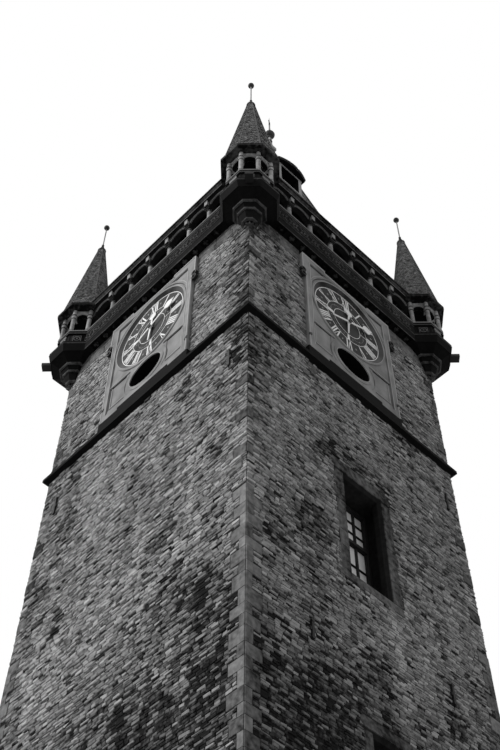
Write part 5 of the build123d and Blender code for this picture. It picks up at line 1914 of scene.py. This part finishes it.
@dataclass
class WallIrons:
    """The small wrought anchors that tie the floors to the walls."""

    places: dict[Side, list[tuple[float, float, float]]]
    sizes: TowerSizes
    sketch: Sketch = field(default_factory=Sketch)

    def build(self) -> None:
        """Makes a bar and a plate for each anchor."""
        for side, spots in self.places.items():
            start = len(self.sketch.points)
            for x, z, length in spots:
                self.sketch.bar(x - 0.022, x + 0.022, z - length / 2, z + length / 2, 0.010, 0.050)
                self.sketch.bar(x - 0.050, x + 0.050, z - 0.030, z + 0.030, 0.010, 0.042)
                for end in (-1, 1):
                    self.sketch.arc((x, z + end * length / 2), 0.0, 0.034, 0.010, 0.054, steps=10)
            self.sketch.place(self.sizes.stand(side), start)
        finished(self.sketch.mesh("wall_anchors", [IRON]))


class NodeFinishes:
    """The finish of each CAD node that stays in view."""

    def __init__(self) -> None:
        """Names the finish of every node."""
        faces = [side.label for side in Side]
        self.of_node: dict[str, Finish] = {}
        self.give(MORTAR, *[f"{f}_wall" for f in faces])
        # String course, corbel table, parapets, eaves and turret bases: near-black stone, partly soot and partly
        # painted shade
        self.give(SOOT_AND_SHADE, "string_course", "corbel_table", "parapets", "eaves_cornice", "turret_bases")
        self.give(PALE, "gallery_columns", "turret_columns", "turret_arches")
        self.give(SHADED, *[f"{f}_arches" for f in faces])
        self.give(PLASTER, *[f"{f}_clock_panel" for f in faces])
        self.give(DIAL, *[f"{f}_dial" for f in faces])
        self.give(WHITE, *[f"{f}_{h}_hand" for f in faces for h in ("minute", "hour")])
        self.give(UNDERLAY, "turret_spires", "main_roof")
        self.give(PAINTED, "east_dormer", "west_dormer")
        self.give(PALE_METAL, "finials")
        self.give(IRON, "water_spouts", "east_weather_vane", "west_weather_vane")
        self.give(OAK, "window_frames", "door")
        self.give(GLASS, "window_glass")
        self.give(BOARDS, "floors")

    def give(self, finish: Finish, *names: str) -> None:
        """Gives one finish to several nodes."""
        for name in names:
            self.of_node[name] = finish

    def dress(self) -> None:
        """Puts the materials on the nodes."""
        for name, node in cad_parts.items():
            material = self.of_node[name].make()
            node.data.materials.clear()
            node.data.materials.append(material)


@dataclass
class Studio:
    """The floor, the lights, the white background and the camera."""

    eye: Point = (11.031, -10.516, 0.800)
    heading: float = 46.351
    tilt: float = 54.126
    roll: float = 0.485
    lens: float = 55.87
    floor_half: float = 60.0
    floor_colour: str = "#d7d7d7"
    key_strength: float = 3.25
    fill_strength: float = 0.42
    sky_strength: float = 0.26

    def floor(self) -> None:
        """Lays a wide pale floor."""
        half = self.floor_half
        sketch = Sketch()
        sketch.face([(-half, -half, 0), (half, -half, 0), (half, half, 0), (-half, half, 0)])
        finish = StoneFinish("studio_floor", dark=self.floor_colour, light="#e1e1e1", laid=False, relief=0.0,
                             mottle_mm=3000.0, mottle=0.2)
        sketch.mesh("studio_floor", [finish])

    def sun(self, name: str, toward: Point, strength: float, spread: float) -> None:
        """Adds one soft far lamp.

        Args:
            name: the lamp's name.
            toward: the direction from the tower to the lamp.
            strength: its strength.
            spread: its apparent width in degrees, which softens the shadows.
        """
        lamp = bpy.data.lights.new(name, "SUN")
        lamp.energy = strength
        lamp.angle = math.radians(spread)
        made = bpy.data.objects.new(name, lamp)
        made.rotation_mode = "QUATERNION"
        made.rotation_quaternion = Vector(toward).to_track_quat("Z", "Y")
        bpy.context.scene.collection.objects.link(made)

    def sky(self) -> None:
        """Lights the scene softly from all round, over a background that shows white."""
        world = bpy.data.worlds.new("studio_sky")
        bpy.context.scene.world = world
        world.use_nodes = True
        tree = world.node_tree
        tree.nodes.clear()
        rays = add(tree, "ShaderNodeLightPath").outputs
        seen = add(tree, "ShaderNodeMath", {0: rays["Is Camera Ray"], 1: rays["Is Glossy Ray"]}, operation="MAXIMUM")
        shown = add(tree, "ShaderNodeMath", {0: seen.outputs[0], 1: rays["Is Transmission Ray"]}, operation="MAXIMUM")
        strength = add(tree, "ShaderNodeMix", {"Factor": shown.outputs[0], "A": self.sky_strength, "B": 1.0})
        back = add(tree, "ShaderNodeBackground", {"Color": (1, 1, 1, 1), "Strength": strength.outputs[0]})
        add(tree, "ShaderNodeOutputWorld", {"Surface": back.outputs[0]})

    def camera(self) -> None:
        """Stands the camera where the photographer stood, at the tower's half size."""
        data = bpy.data.cameras.new("camera")
        data.lens = self.lens
        data.sensor_width = 36.0
        data.clip_end = 500.0
        made = bpy.data.objects.new("camera", data)
        turn = Matrix.Rotation(math.radians(self.heading), 4, "Z")
        lean = Matrix.Rotation(math.radians(90 + self.tilt), 4, "X")
        roll = Matrix.Rotation(math.radians(self.roll), 4, "Z")
        made.matrix_world = Matrix.Translation(self.eye) @ turn @ lean @ roll
        bpy.context.scene.collection.objects.link(made)
        bpy.context.scene.camera = made

    def build(self) -> None:
        """Sets up the whole studio."""
        self.floor()
        self.sun("key_light", (-0.5, -1.0, 0.75), self.key_strength, 25.0)
        self.sun("fill_light", (1.0, -0.15, 0.45), self.fill_strength, 40.0)
        self.sky()
        self.camera()
        bpy.context.scene.view_settings.view_transform = "Standard"


WINDOWS = [
    Opening(-0.083, 0.853, 13.370, 15.670),
    Opening(-0.083, 0.600, 8.807, 10.507, jamb=0.22, lintel=0.24),
    Opening(-0.083, 0.600, 3.900, 5.400, jamb=0.22, lintel=0.24),
]
ANCHORS = {
    Side.FRONT: [(2.41, 17.30, 0.42), (-2.41, 17.30, 0.42)],
    Side.EAST: [(2.43, 17.26, 0.40), (1.56, 12.26, 0.34), (-1.53, 11.63, 0.30)],
    Side.REAR: [(2.41, 17.30, 0.42), (-2.41, 17.30, 0.42)],
    Side.WEST: [(2.43, 17.26, 0.40), (-2.43, 17.26, 0.40)],
}
DOORWAY = Opening(0.0, 1.05, 0.9, 2.225, jamb=0.24, lintel=0.12)


def main() -> None:
    """Builds the dressing in order."""
    logging.basicConfig(level=logging.INFO, format="%(message)s")
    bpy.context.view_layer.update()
    sizes = TowerSizes.from_frame()
    NodeFinishes().dress()
    courses = StoneCourses()
    for side in Side:
        openings = [] if side in (Side.FRONT, Side.REAR) else list(WINDOWS)
        if side is Side.EAST:
            openings.append(DOORWAY)
        Masonry(side, sizes, courses, openings).build()
        DialFigures(side, sizes).build()
        PanelMouldings(side, sizes).build()
        GalleryCarving(side, sizes).build()
    for side in (Side.EAST, Side.WEST):
        WindowBars(side, sizes, WINDOWS).build()
    roof = RoofSizes()
    TurretCarving(roof).build()
    Roofs(courses, roof).build()
    RoofTrim(roof).build()
    DoorDressing().build()
    WallIrons(ANCHORS, sizes).build()
    Studio().build()
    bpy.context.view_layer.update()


if __name__ == "__main__":
    main()
